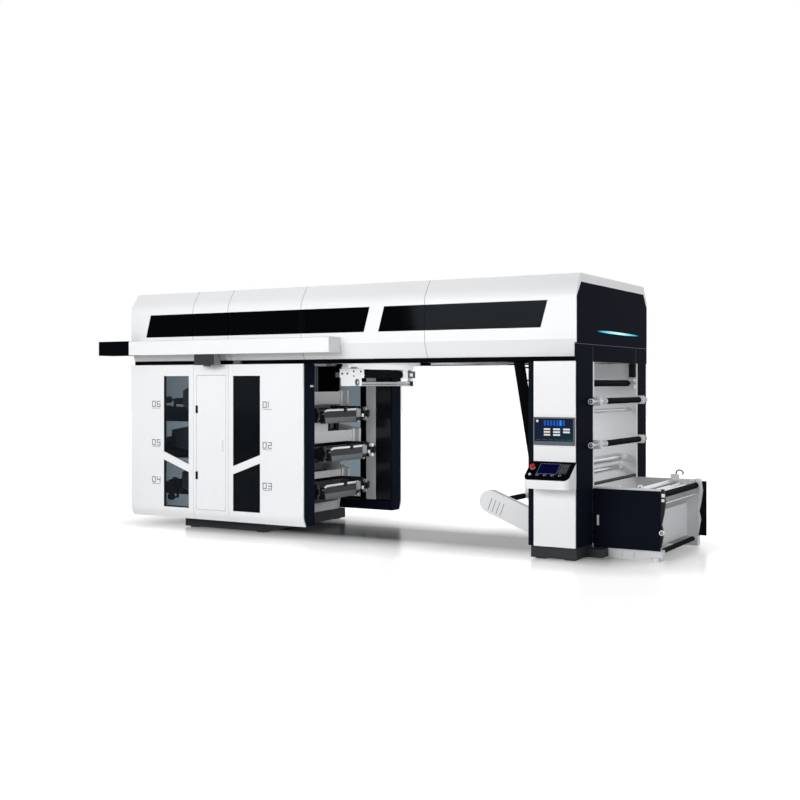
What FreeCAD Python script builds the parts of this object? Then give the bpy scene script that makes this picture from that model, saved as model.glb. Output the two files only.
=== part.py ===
import FreeCAD, Part
import math
import os

os.makedirs("parts", exist_ok=True)
Vector = FreeCAD.Vector

# A flexographic printing press: a six-colour printing unit, an overhead hood that carries
# the drying tunnel, and a control tower with a low winding unit at its outer end.
# Millimetres. X runs along the press, Y from the operator's side to the rear, Z up.
# Places are counted from the outer face of the tower, the hood's front wall and the floor.

# Overall sizes
press_length = 7660.0
press_depth = 2920.0
press_height = 3750.0
mid_y = press_depth / 2
plinth_height = 180.0
cover_top = 2600.0
beam_height = 63.0
seam = 4.0
seat_gap = 0.3

# Hood
hood_left = -press_length
hood_bottom = cover_top + beam_height
hood_shoulder_drop = 250.0
hood_shoulder = press_height - hood_shoulder_drop
hood_crease = hood_bottom + 0.2676 * (hood_shoulder - hood_bottom)
hood_shoulder_radius = 300.0
hood_top_inset = 165.0
hood_chin_inset = 90.0
hood_wall = 30.0
hood_seams = [-6370.0, -5675.0, -4308.0, -2228.0]
window_high = hood_shoulder - 0.163 * (hood_shoulder - hood_crease)
window_low = hood_crease + 0.2545 * (hood_shoulder - hood_crease)
window_lean = 98.0
window_ends = [(-7341.0, -3218.0), (-2980.0, -495.0)]
glass_thickness = 10.0
glass_recess = 4.0
beam_width = 120.0
beam_set_out = 10.0
post_width = 50.0
post_depth = 25.0
post_lap = 30.0
tie_width = 100.0
guide_x = -3850.0
tie_places = (-7600.0, -6550.0, -5550.0, guide_x - tie_width / 2, -2300.0, -640.0, -200.0)
tunnel_inset = 700.0
tunnel_drop = 400.0
tunnel_top = press_height - tunnel_drop
tunnel_margin = 900.0

# Printing unit covers
cover_left = hood_left
cover_right = -4276.0
cover_depth = 310.0
skin = 30.0
liner = 30.0
cover_lower_curve = 60.0
cover_bend = 250.0
door_seams = (-6354.0, -5665.0)
door_left = -6294.0
door_right = -5717.0
door_low = 345.0
door_high = 2433.0
door_gap = 5.0
pane_left_window = (-6965.0, -6452.0)
pane_right_window = (-5574.0, -5061.0)
pane_low = 352.0
pane_high = 2425.0
band_outer = (1101.0, 1227.0)
band_inner = (916.0, 1040.0)

# Printing unit frame, drum and decks
frame_front = 430.0
frame_thickness = 60.0
drum_x = -6000.0
drum_z = 1205.0
drum_radius = 740.0
drum_margin = 90.0
drum_shaft_radius = 110.0
plate_radius = 98.0
anilox_radius = 70.0
running_gap = 1.0
deck_angles = (45.0, 0.0, -45.0)
deck_reaches = (718.0, 592.0, 718.0)
cheek_thickness = 60.0
cheek_lap = 160.0
cheek_setback = 90.0
nose_depth = 230.0
nose_inset = 930.0
chamber_rise = 90.0
chamber_slope = 150.0
chamber_half = 40.0
bracket_inset = 770.0
bracket_width = 40.0

# Deck outlines, as distances back from the tip and heights over the deck's middle
cheek_edge = ((60.0, -110.0), (0.0, -30.0), (0.0, 60.0), (160.0, 130.0))
nose_edge = ((nose_depth, -95.0), (40.0, -105.0), (0.0, -60.0), (0.0, 60.0), (20.0, 75.0),
             (nose_depth, 60.0))
bracket_edge = ((nose_depth + 60.0, -40.0), (70.0, -100.0), (20.0, -100.0), (20.0, 130.0),
                (70.0, 130.0), (nose_depth + 60.0, 40.0))

# The side frames: a waist with three lobes, counted up from the drum's centre
frame_foot_half = 740.0
frame_waist = 800.0
lobe_ramp = 70.0
frame_lobes = ((-585.0, -335.0, 960.0), (85.0, 345.0, 1180.0), (745.0, 985.0, 940.0))

# Catch trays: floor and upper edge counted up from the drum's centre, inner and outer reach
tray_sheet = 12.0
tray_levels = ((755.0, 965.0, 500.0, 820.0), (140.0, 325.0, 780.0, 1060.0),
               (-460.0, -345.0, 700.0, 840.0))
sump_tray = (140.0, 600.0, 740.0)

unit_base_left = -6800.0
unit_base_right = -5200.0
base_front = 330.0
foot_height = 20.0
foot_size = 150.0
foot_inset = 60.0
standoff_heights = (480.0, 2200.0)
standoff_size = (40.0, 60.0)
sill = 20.0

# Service door
door_thickness = 25.0
hinge_radius = 9.0
hinge_leaf = 40.0
hinge_x = door_left - door_gap / 2
hinge_y = -hinge_radius - seat_gap
hinge_spans = ((814.0, 932.0), (1846.0, 1963.0))
grip_low = 1250.0
grip_high = 1430.0

# Tower
tower_depth = 676.0
tower_panel_left = -593.0
tower_panel_right = -12.0
tower_skin = 20.0
column_inner_front = 610.0
column_rear_depth = 450.0
column_inner_rear = press_depth - column_rear_depth
tower_mid = (column_inner_front + column_inner_rear) / 2
side_plate = 45.0
end_panel_thickness = 30.0
end_panel_top = press_height - 114.0
end_panel_rise = 194.0
end_panel_shoulder = end_panel_top - end_panel_rise
end_panel_inset = 18.0
end_panel_chamfer = 156.0
end_panel_seam = hood_bottom + 0.2118 * (end_panel_shoulder - hood_bottom)
header_split = column_inner_rear - 80.0
skid_inset = 20.0
skid_front = 60.0
skid_toe_depth = 250.0
gusset_left = -935.0
gusset_foot = 1080.0
gusset_y = 120.0
gusset_thickness = 40.0
wedge_left = -791.0
wedge_gap = 14.0
rung_heights = (2590.0, 2520.0, 2350.0, 2170.0, 1980.0)
rung_thickness = 20.0
upper_roller_z = 2070.0
lower_roller_z = 1495.0
outer_roller_x = 62.0
outer_roller_radius = 42.0
outer_set_in = 250.0
outer_set_in_far = 85.0
outer_shaft_radius = 18.0
knob_reach_near = 250.0
knob_reach_far = 160.0
knob_length = 40.0
knob_radius = 38.0
nip_x = -110.0
nip_z = 2312.0
nip_radius = 45.0
nip_shaft_radius = 20.0
inner_rollers = ((-200.0, 1235.0, 60.0), (-260.0, 1080.0, 45.0), (-110.0, 1930.0, 30.0))

# Controls on the tower's front panel
screen_left = -590.0
screen_right = -15.0
screen_low = 1505.0
screen_high = 1870.0
screen_depth = 22.0
console_left = -620.0
console_reach = 290.0
console_back_high = 1280.0
console_front_high = 1068.0
console_low = 955.0
console_top = 12.0
console_corner = 70.0

# Low winding unit
winder_length = 1020.0
winder_door_right = 915.0
winder_low = 134.0
winder_high = 910.0
winder_plate_high = 935.0
winder_skin = 25.0
winder_plate = 35.0
winder_gap = 5.0
winder_base_left = 204.0
winder_corner_left = 700.0
winder_corner_right = 930.0
winder_base_depth = 130.0
recess_count = 3
recess_margin = 22.0
recess_depth = 14.0
winder_edge = ((910.0, winder_low), (950.0, 364.0), (925.0, 480.0), (955.0, 623.0),
               (975.0, 777.0), (955.0, winder_plate_high))
winder_grip = (60.0, 85.0, 426.0, 559.0)
winder_grip_depth = 12.0
winder_panel_x = 735.0
winder_panel_high = 600.0
winder_idler_places = ((545.0, 880.0, 42.0), (675.0, 850.0, 38.0), (780.0, 850.0, 30.0))
winder_top_roller = (885.0, 850.0, 42.0)
winder_bottom_roller = (865.0, 100.0, 32.0)
winder_shaft_radius = 18.0

# Lifting rail
rail_left = -7430.0
rail_right = -3620.0
rail_tip = -8080.0
rail_depth = 300.0
rail_height = 225.0
rail_lap = 93.0
rail_high = hood_crease + rail_lap
rail_low = rail_high - rail_height
rail_sheet = 12.0
track_y = -185.0
track_low = rail_low + 35.0
track_half = 40.0
track_web_half = 5.0
trolley_left = -6126.0
trolley_right = -5734.0
trolley_half = 75.0
trolley_drop = 200.0
trolley_cheek = 20.0
trolley_gap = 6.0
trolley_cheek_inset = 40.0
trolley_cheek_rise = 70.0
wheel_inset = 90.0
wheel_set_back = 12.0
wheel_radius = 22.0

# Web guide beside the printing unit, under the hood
guide_near = 500.0
guide_far_inset = 420.0
guide_far = press_depth - guide_far_inset
guide_block = 400.0
guide_bar_height = 75.0
guide_roller_drop = 150.0
guide_roller_z = cover_top - guide_roller_drop
guide_roller_radius = 60.0
guide_rod_drop = 285.0
guide_rod_z = cover_top - guide_rod_drop
guide_far_block = 150.0
guide_rod_radius = 24.0

# Swing arm of the tower
arm_tip = (-1560.0, 645.0)
arm_pivot = (-420.0, 205.0)
arm_radius = 160.0
arm_thickness = 110.0
arm_front = 690.0
arm_pivot_radius = 45.0
arm_rung = (250.0, 40.0, 38.0)
slot_places = (12.0, 79.0, 145.0, 212.0)
slot_span = (-60.0, 120.0)
slot_width = 9.0
slot_depth = 8.0

# The whole press is centred on its own footprint
front_reach = -rail_depth
rear_reach = press_depth
right_reach = winder_length
origin = Vector((rail_tip + right_reach) / 2, (front_reach + rear_reach) / 2, 0)


def box(x0, x1, y0, y1, z0, z1):
    return Part.makeBox(x1 - x0, y1 - y0, z1 - z0, Vector(x0, y0, z0))


def place(axis, at, a, b):
    """A point of an outline drawn across the given axis."""
    if axis == "x":
        return Vector(at, a, b)
    if axis == "y":
        return Vector(a, at, b)
    return Vector(a, b, at)


def outline_wire(points, radii, axis, at):
    """A closed outline whose corners are rounded by tangent arcs of the given radii."""
    corners = [place(axis, at, a, b) for a, b in points]
    starts = []
    ends = []
    middles = []
    for i, corner in enumerate(corners):
        before = corners[i - 1] - corner
        after = corners[(i + 1) % len(corners)] - corner
        before.normalize()
        after.normalize()
        radius = radii.get(i, 0.0)
        half = math.acos(max(-1.0, min(1.0, before.dot(after)))) / 2
        reach = radius / math.tan(half) if radius else 0.0
        starts.append(corner + before * reach)
        ends.append(corner + after * reach)
        if radius:
            bisector = before + after
            bisector.normalize()
            middles.append(corner + bisector * (radius / math.sin(half) - radius))
        else:
            middles.append(None)
    edges = []
    for i in range(len(corners)):
        if middles[i] is not None:
            edges.append(Part.Arc(starts[i], middles[i], ends[i]).toShape())
        follower = starts[(i + 1) % len(corners)]
        if (ends[i] - follower).Length > 1e-6:
            edges.append(Part.LineSegment(ends[i], follower).toShape())
    return Part.Wire(edges)


def prism(points, axis, lo, hi, radii=None):
    """A straight solid whose section is the outline, from lo to hi along the axis."""
    wire = outline_wire(points, radii or {}, axis, lo)
    return Part.Face(wire).extrude(place(axis, hi - lo, 0, 0))


def rod(axis, a, b, lo, hi, radius):
    """A round bar along the axis."""
    return Part.makeCylinder(radius, hi - lo, place(axis, lo, a, b), place(axis, 1, 0, 0))


def roller(x, z, lo, hi, radius, shaft_lo, shaft_hi, shaft_radius):
    """A roller across the press with its two journals."""
    body = rod("y", x, z, lo, hi, radius)
    return body.fuse(rod("y", x, z, shaft_lo, shaft_hi, shaft_radius))


def mirror_y(shape, middle=mid_y):
    """The same piece on the other side of the press, or of another middle plane."""
    return shape.mirror(Vector(0, middle, 0), Vector(0, 1, 0))


def both_sides(shape, middle=mid_y):
    return [shape, mirror_y(shape, middle)]


def save(name, solids):
    """Write one named piece in the frame of the whole press."""
    group = []
    for solid in solids if isinstance(solids, list) else [solids]:
        group += solid.Solids
    for solid in group:
        assert solid.isValid() and solid.Volume > 0, name
    shape = Part.makeCompound(group) if len(group) > 1 else group[0].copy()
    shape.translate(origin * -1)
    shape.exportStep("parts/" + name + ".step")
    print(name, len(group), "solids", round(shape.Volume / 1e9, 4), "m3")


def hood_outline():
    """The hood's section: a chin, an upright wall and a sloping shoulder on each side."""
    front = [(hood_chin_inset, hood_bottom), (0.0, hood_crease), (0.0, hood_shoulder)]
    front.append((hood_top_inset, press_height))
    rear = [(press_depth - y, z) for y, z in reversed(front)]
    return front + rear


hood_radii = {2: hood_shoulder_radius, 5: hood_shoulder_radius}


def hood_inner_outline():
    """The same section one wall further in."""
    slope = math.hypot(hood_top_inset, press_height - hood_shoulder)
    top_in = hood_top_inset + hood_wall * (slope - hood_top_inset) / (press_height - hood_shoulder)
    front = [(hood_chin_inset + hood_wall, hood_bottom + hood_wall), (hood_wall, hood_crease)]
    front += [(hood_wall, hood_shoulder), (top_in, press_height - hood_wall)]
    rear = [(press_depth - y, z) for y, z in reversed(front)]
    return front + rear


def window_solid(ends, y0, y1, lo=window_low, hi=window_high, cut=None):
    """A leaning hood window between two depths, or the stretch of it inside cut."""
    left, right = ends
    lean = window_lean / (window_high - window_low)
    rise = lean * (hi - lo)
    points = [(left, lo), (right, lo), (right + rise, hi), (left + rise, hi)]
    solid = prism(points, "y", y0, y1)
    if cut:
        solid = solid.common(box(cut[0], cut[1], y0 - 1, y1 + 1, lo - 1, hi + 1))
    return solid


def end_panel_outline(low):
    """The dark end panel's outline, its two upper corners cut off."""
    a = end_panel_inset
    b = press_depth - end_panel_inset
    rise = end_panel_top - end_panel_shoulder
    assert rise > 0
    return [(a, low), (a, end_panel_shoulder), (a + end_panel_chamfer, end_panel_top),
            (b - end_panel_chamfer, end_panel_top), (b, end_panel_shoulder), (b, low)]


def hood():
    """Five hood sections, their glass, the beams below and the drying tunnel inside."""
    bounds = [hood_left] + hood_seams + [0.0]
    windows = []
    for ends in window_ends:
        windows.append(window_solid(ends, -1, hood_wall + 1))
        windows.append(mirror_y(windows[-1]))
    for number in range(len(bounds) - 1):
        lo = bounds[number] + (seam / 2 if number else 0.0)
        hi = bounds[number + 1] - (seam / 2 if number < len(bounds) - 2 else 0.0)
        shell = prism(hood_outline(), "x", lo, hi, hood_radii)
        core_lo = lo + (hood_wall if number == 0 else -1)
        shell = shell.cut(prism(hood_inner_outline(), "x", core_lo, hi + 1, hood_radii))
        if number == len(bounds) - 2:
            cap = prism(hood_outline(), "x", hi - end_panel_thickness, hi, hood_radii)
            cap = cap.cut(prism(end_panel_outline(hood_bottom - 1), "x", hi - 40, hi + 1))
            shell = shell.fuse(cap).removeSplitter()
            shell = shell.cut(prism(end_panel_outline(hood_bottom - 1), "x",
                                    hi - end_panel_thickness, hi + 1))
        for window in windows:
            shell = shell.cut(window)
        y0 = glass_recess + glass_thickness
        post = box(lo, lo + post_width, y0, hood_wall + post_depth,
                   window_low - post_lap, window_high + post_lap)
        for piece in both_sides(post):
            shell = shell.fuse(piece)
        shell = shell.removeSplitter()
        save("hood_section_%d" % (number + 1), shell)
    panes = []
    for ends in window_ends:
        for k in range(len(bounds) - 1):
            cut = (bounds[k] + seam / 2, bounds[k + 1] - seam / 2)
            y0 = glass_recess
            pane = window_solid(ends, y0, y0 + glass_thickness, cut=cut)
            if pane.Solids:
                panes += both_sides(pane)
    save("hood_glass", panes)
    y0 = hood_chin_inset - beam_set_out
    left = hood_left + beam_set_out
    beam = box(left, -end_panel_thickness, y0, y0 + beam_width, cover_top, hood_bottom)
    save("hood_beams", both_sides(beam))
    ties = []
    for x in tie_places:
        ties.append(box(x, x + tie_width, y0 + beam_width, press_depth - y0 - beam_width,
                        cover_top, hood_bottom))
    save("hood_crossbeams", ties)
    tunnel = box(hood_left + tunnel_margin, hood_seams[3] + tunnel_margin, tunnel_inset,
                 press_depth - tunnel_inset, hood_bottom + hood_wall, tunnel_top)
    save("hood_dryer", tunnel)


hood()


def cover_section(lo, hi, y_skin):
    """An upright sheet whose lower edge curls inward, from lo to hi along the press."""
    points = [(0.0, cover_top), (0.0, plinth_height + cover_lower_curve * 2)]
    points += [(cover_lower_curve, plinth_height), (cover_lower_curve + y_skin, plinth_height)]
    points += [(y_skin, plinth_height + cover_lower_curve * 2), (y_skin, cover_top)]
    return prism(points, "x", lo, hi, {1: cover_bend, 4: cover_bend - y_skin})


def pane_outlines(ends, outer_left):
    """The two glass outlines of one tall window, parted by a slanting white band."""
    left, right = ends
    at_left = (band_outer[1], band_outer[0]) if outer_left else (band_inner[1], band_inner[0])
    at_right = (band_inner[1], band_inner[0]) if outer_left else (band_outer[1], band_outer[0])
    upper = [(left, at_left[0]), (right, at_right[0]), (right, pane_high), (left, pane_high)]
    lower = [(left, pane_low), (right, pane_low), (right, at_right[1]), (left, at_left[1])]
    return [upper, lower]


def covers():
    """The printing unit's covers, front and rear, with tall windows and a service door."""
    left_panes = pane_outlines(pane_left_window, True)
    right_panes = pane_outlines(pane_right_window, False)
    left = cover_section(cover_left, door_seams[0] - seam / 2, skin)
    right = cover_section(door_seams[1] + seam / 2, cover_right, skin)
    for outline in left_panes:
        left = left.cut(prism(outline, "y", -1, skin + 1))
    for outline in right_panes:
        right = right.cut(prism(outline, "y", -1, skin + 1))
    save("cover_front_left", left)
    save("cover_front_right", right)

    middle = cover_section(door_seams[0] + seam / 2, door_seams[1] - seam / 2, skin)
    posts = []
    for x0, x1 in ((door_seams[0], door_left - door_gap), (door_right + door_gap, door_seams[1])):
        posts += middle.common(box(x0, x1, -1, press_depth, 0, press_height)).Solids
    save("door_posts", posts)
    rails = []
    between = (door_left - door_gap, door_right + door_gap)
    for z0, z1 in ((0, door_low - door_gap), (door_high + door_gap, press_height)):
        rails += middle.common(box(between[0], between[1], -1, press_depth, z0, z1)).Solids
    save("door_rails", rails)

    rear = []
    for piece in (left, right, middle):
        rear.append(mirror_y(piece))
    save("cover_rear", rear)

    panes = []
    for outline in left_panes + right_panes:
        pane = prism(outline, "y", glass_recess, glass_recess + glass_thickness)
        panes += both_sides(pane)
    save("cover_glass", panes)

    # The dark inner frame behind each cover, with a return at both ends
    foot = plinth_height + cover_lower_curve * 2
    low = plinth_height - 1
    inner = box(cover_left, cover_right, skin, cover_depth, plinth_height, cover_top)
    inner = inner.cut(box(cover_left + liner, cover_right - liner, skin + liner, cover_depth + 1,
                          pane_low - sill, cover_top - liner))
    inner = inner.cut(box(cover_left + liner, cover_right - liner, skin + liner,
                          cover_depth - liner, plinth_height - 1, pane_low - sill - liner))
    sheet_back = [(-1, low), (cover_lower_curve + skin, low)]
    sheet_back += [(cover_lower_curve + skin, plinth_height), (skin, foot), (skin, cover_top + 1)]
    sheet_back += [(-1, cover_top + 1)]
    inner = inner.cut(prism(sheet_back, "x", cover_left - 1, cover_right + 1,
                            {3: cover_bend - skin}))
    for ends in (pane_left_window, pane_right_window):
        inner = inner.cut(box(ends[0], ends[1], skin - 1, cover_depth + 1, pane_low, pane_high))
    hole = box(door_left, door_right, skin - 1, cover_depth + 1, door_low, door_high)
    save("cover_liner_front", inner.cut(hole))
    save("cover_liner_rear", mirror_y(inner))


def service_door():
    """The hinged door between the two windows, with its hinge barrels and a handle recess."""
    door = box(door_left, door_right, 0, door_thickness, door_low, door_high)
    for low, high in hinge_spans:
        door = door.fuse(rod("z", hinge_x, hinge_y, low, high, hinge_radius))
        door = door.fuse(box(door_left, door_left + hinge_leaf, -6, 0, low, high))
    grip = box(door_right - 70, door_right - 40, -1, 8, grip_low, grip_high)
    save("cabinet_door", door.cut(grip))


def feet(x0, x1, y_places):
    """Square levelling feet near both ends of a base, at the given depths."""
    pads = []
    for x in (x0 + foot_inset, x1 - foot_inset - foot_size):
        for y in y_places:
            pads.append(box(x, x + foot_size, y, y + foot_size, 0, foot_height))
    return pads


def frame_outline():
    """A side frame's outline: a waist, with a lobe on each side at every deck."""
    right = [(frame_foot_half, plinth_height)]
    for low, high, reach in frame_lobes:
        right += [(frame_waist, drum_z + low - lobe_ramp), (reach, drum_z + low)]
        right += [(reach, drum_z + high), (frame_waist, drum_z + high + lobe_ramp)]
    right.append((frame_foot_half, cover_top))
    left = [(-half, z) for half, z in reversed(right)]
    return [(drum_x + half, z) for half, z in right + left]


def unit():
    """The printing unit: base, side frames, central drum, six inking decks and their trays."""
    base = box(unit_base_left, unit_base_right, base_front, press_depth - base_front,
               foot_height, plinth_height)
    first = base_front + foot_inset
    for pad in feet(unit_base_left, unit_base_right,
                    (first, mid_y - foot_size / 2, press_depth - first - foot_size)):
        base = base.fuse(pad)
    save("unit_base", base)

    plate = prism(frame_outline(), "y", frame_front, frame_front + frame_thickness)
    width, height = standoff_size
    for x in (door_seams[0] - width, door_seams[1]):
        for z in standoff_heights:
            plate = plate.fuse(box(x, x + width, skin + liner, frame_front, z, z + height))
    plate = plate.removeSplitter()
    save("unit_frame_front", plate)
    save("unit_frame_rear", mirror_y(plate))

    inside = frame_front + frame_thickness
    lo = inside + drum_margin
    save("impression_drum", roller(drum_x, drum_z, lo, press_depth - lo, drum_radius, inside,
                                   press_depth - inside, drum_shaft_radius))

    plates = []
    aniloxes = []
    bearing = inside + cheek_thickness
    number = 0
    for side in (1, -1):
        for angle, reach in zip(deck_angles, deck_reaches):
            number += 1
            turn = math.radians(angle)
            distance = drum_radius + plate_radius + running_gap
            x = drum_x + side * distance * math.cos(turn)
            z = drum_z + distance * math.sin(turn)
            plates.append(rod("y", x, z, bearing, press_depth - bearing, plate_radius))
            ax = x + side * (plate_radius + anilox_radius + running_gap)
            aniloxes.append(rod("y", ax, z, bearing, press_depth - bearing, anilox_radius))
            save("deck_%d" % number, deck(side, ax, z, reach, inside))
    save("plate_rollers", plates)
    save("anilox_rollers", aniloxes)

    trays = []
    levels = [(drum_z + low, drum_z + high, inner, outer) for low, high, inner, outer in tray_levels]
    levels.append((plinth_height, plinth_height + sump_tray[0]) + sump_tray[1:])
    for low, high, inner, outer in levels:
        section = [(inner, low), (outer, low), (outer, high), (outer - tray_sheet, high),
                   (outer - tray_sheet, low + tray_sheet), (inner, low + tray_sheet)]
        for side in (1, -1):
            trays.append(prism(facing(side, drum_x, section), "y", inside, press_depth - inside))
    save("deck_trays", trays)


def facing(side, x, points):
    """Points given as distances out from x, turned to the side of the drum they stand on."""
    turned = [(x + side * out, z) for out, z in points]
    return turned if side > 0 else turned[::-1]


def deck(side, ax, z, reach, inside):
    """One ink deck: a cheek at each end, the chamber between, its ink pan and two brackets."""
    start = side * (drum_x + side * (frame_waist - cheek_lap) - ax)
    tip = reach - cheek_setback
    cheek = [(start, z + cheek_edge[0][1])] + [(tip - back, z + rise) for back, rise in cheek_edge]
    cheek.append((start, z + cheek_edge[-1][1]))
    solid = prism(facing(side, ax, cheek), "y", inside, inside + cheek_thickness)
    solid = solid.fuse(mirror_y(solid))
    first = anilox_radius + running_gap
    last = reach - nose_depth
    chamber = [(first, z - chamber_half), (last, z - chamber_half), (last, z + chamber_half),
               (first + chamber_slope, z + chamber_rise), (first, z + chamber_rise)]
    solid = solid.fuse(prism(facing(side, ax, chamber), "y", inside, press_depth - inside))
    nose = [(reach - back, z + rise) for back, rise in nose_edge]
    solid = solid.fuse(prism(facing(side, ax, nose), "y", nose_inset, press_depth - nose_inset))
    bracket = [(reach - back, z + rise) for back, rise in bracket_edge]
    bracket = prism(facing(side, ax, bracket), "y", bracket_inset, bracket_inset + bracket_width)
    return solid.fuse(bracket).fuse(mirror_y(bracket)).removeSplitter()


covers()
service_door()
unit()


def tower():
    """The tower: two closed columns with pale inner plates, panels, gussets and controls."""
    left = -tower_depth
    column = box(left, 0, tower_skin, column_inner_front, plinth_height, cover_top)
    column = column.makeFillet(40.0, [e for e in column.Edges if upright_at(e, 0, tower_skin)])
    seat = box(left - 1, 1, 0, press_depth, hood_bottom - beam_height, hood_bottom)
    column = column.cut(seat)
    save("tower_column_front", column)
    rear_depth = press_depth - column_inner_rear
    save("tower_column_rear", mirror_y(column.common(box(left, 0, 0, rear_depth, 0, press_height))))
    inner = box(left, 0, column_inner_front, column_inner_front + side_plate,
                plinth_height, cover_top)
    inner = inner.fuse(roller_arms()).removeSplitter()
    save("tower_side_plates", both_sides(inner, tower_mid))
    panel = box(tower_panel_left, tower_panel_right, 0, tower_skin, plinth_height, cover_top)
    save("tower_panels", both_sides(panel))
    inner_edge = column_inner_front + side_plate
    skid = box(left + skid_inset, -skid_inset, skid_front, inner_edge, foot_height, plinth_height)
    toe_back = inner_edge - skid_toe_depth
    skid = skid.fuse(box(-skid_inset, winder_base_left, toe_back, inner_edge, foot_height,
                         winder_low - seam))
    for pad in feet(left, 0, (skid_front + foot_inset, inner_edge - foot_inset - foot_size)):
        skid = skid.fuse(pad)
    skid = skid.removeSplitter()
    rear = mirror_y(skid, tower_mid)
    rear = rear.common(box(left, winder_length, 0, press_depth - skid_front, 0, cover_top))
    save("tower_base", [skid, rear])

    face = prism(end_panel_outline(end_panel_seam + seam / 2), "x", -end_panel_thickness, 0)
    header = [(end_panel_inset, column_inner_front - seam), (column_inner_front, header_split),
              (header_split + seam, press_depth - end_panel_inset)]
    parts = [face]
    for y0, y1 in header:
        parts.append(box(-end_panel_thickness, 0, y0, y1, cover_top, end_panel_seam - seam / 2))
    save("end_panel", parts)

    gusset = [(gusset_left, cover_top), (left, cover_top), (left, gusset_foot)]
    gusset = prism(gusset, "y", gusset_y, gusset_y + gusset_thickness)
    for k in range(len(rung_heights) - 1):
        lo = rung_heights[k + 1] + rung_thickness / 2
        hi = rung_heights[k] - rung_thickness / 2
        top = left - wedge_gap
        slope = (wedge_left - top) / (rung_heights[0] - rung_heights[-1])
        a = top + slope * (lo - rung_heights[-1])
        b = top + slope * (hi - rung_heights[-1])
        gap = [(a - 1, lo), (top, lo), (top, hi), (b, hi)]
        gusset = gusset.cut(prism(gap, "y", gusset_y - 1, gusset_y + gusset_thickness + 1))
    save("tower_gussets", both_sides(gusset))

    screen = box(screen_left, screen_right, -screen_depth, 0, screen_low, screen_high)
    dent = box(screen_left + 18, screen_right - 18, -screen_depth - 1, -screen_depth + 4,
               screen_low + 18, screen_high - 18)
    save("control_screen", screen.cut(dent))
    plan = box(console_left, 0, -console_reach - 50, 0, 0, cover_top)
    plan = plan.makeFillet(console_corner, [e for x in (console_left, 0) for e in plan.Edges
                                            if upright_at(e, x, -console_reach - 50)])
    plan.translate(Vector(0, 50, 0))
    section = [(0, console_back_high), (-console_reach, console_front_high),
               (-console_reach, console_low), (0, console_low)]
    save("console_body", prism(section, "x", console_left, 0).common(plan))
    lid = [(0, console_back_high), (-console_reach, console_front_high),
           (-console_reach, console_front_high + console_top),
           (0, console_back_high + console_top)]
    save("console_top", prism(lid, "x", console_left, 0).common(plan))


def upright_at(edge, x, y):
    """True for an upright edge that stands at the given plan point."""
    ends = [v.Point for v in edge.Vertexes]
    if len(ends) != 2:
        return False
    level = abs(ends[0].z - ends[1].z) > 1
    return level and all(abs(p.x - x) < 0.1 and abs(p.y - y) < 0.1 for p in ends)


def roller_arms():
    """The arms on a side plate that carry the two outer rollers."""
    arms = None
    y = column_inner_front
    for z in (upper_roller_z, lower_roller_z):
        x = outer_roller_x
        arm = box(0, x + 45, y, y + side_plate, z - 60, z + 60)
        arm = arm.cut(rod("y", x, z, y - 1, y + side_plate + 1, outer_shaft_radius + seat_gap))
        arms = arm if arms is None else arms.fuse(arm)
    return arms


def tower_rollers():
    """Rollers carried by the tower's pale side plates."""
    near = column_inner_front + side_plate
    far = column_inner_rear - side_plate
    for name, z in (("tower_roller_upper", upper_roller_z), ("tower_roller_lower", lower_roller_z)):
        x = outer_roller_x
        knob_near = column_inner_front - knob_reach_near
        knob_far = column_inner_rear + knob_reach_far
        body = roller(x, z, near + outer_set_in, far - outer_set_in_far, outer_roller_radius,
                      knob_near, knob_far, outer_shaft_radius)
        body = body.fuse(rod("y", x, z, knob_near, knob_near + knob_length, knob_radius))
        body = body.fuse(rod("y", x, z, knob_far - knob_length, knob_far, knob_radius))
        save(name, body.removeSplitter())
    save("tower_nip_roller", roller(nip_x, nip_z, near + 60, far - 100, nip_radius,
                                    near + seat_gap, far - seat_gap, nip_shaft_radius))
    save("tower_inner_rollers",
         [rod("y", x, z, near, far, radius) for x, z, radius in inner_rollers])


def swing_arm():
    """Two arms on one cross shaft that lift a web roll at the inner side of the tower."""
    px, pz = arm_pivot
    tx, tz = arm_tip
    run = math.hypot(tx - px, tz - pz)
    arm = rod("y", 0, 0, 0, arm_thickness, arm_radius)
    arm = arm.fuse(rod("y", run, 0, 0, arm_thickness, arm_radius))
    arm = arm.fuse(box(0, run, 0, arm_thickness, -arm_radius, arm_radius)).removeSplitter()
    for place_in in slot_places:
        arm = arm.cut(box(run - place_in - slot_width, run - place_in, -1, slot_depth,
                          slot_span[0], slot_span[1]))
    arm.rotate(Vector(0, 0, 0), Vector(0, 1, 0), -math.degrees(math.atan2(tz - pz, tx - px)))
    arm.translate(Vector(px, arm_front, pz))
    mirrored = mirror_y(arm, tower_mid)
    near = column_inner_front + side_plate + seat_gap
    pivot = rod("y", px, pz, near, 2 * tower_mid - near, arm_pivot_radius)
    rung = rod("y", tx + arm_rung[0], tz + arm_rung[1], arm_front, 2 * tower_mid - arm_front,
               arm_rung[2])
    save("swing_arm", arm.fuse(mirrored).fuse(pivot).fuse(rung).removeSplitter())


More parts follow.
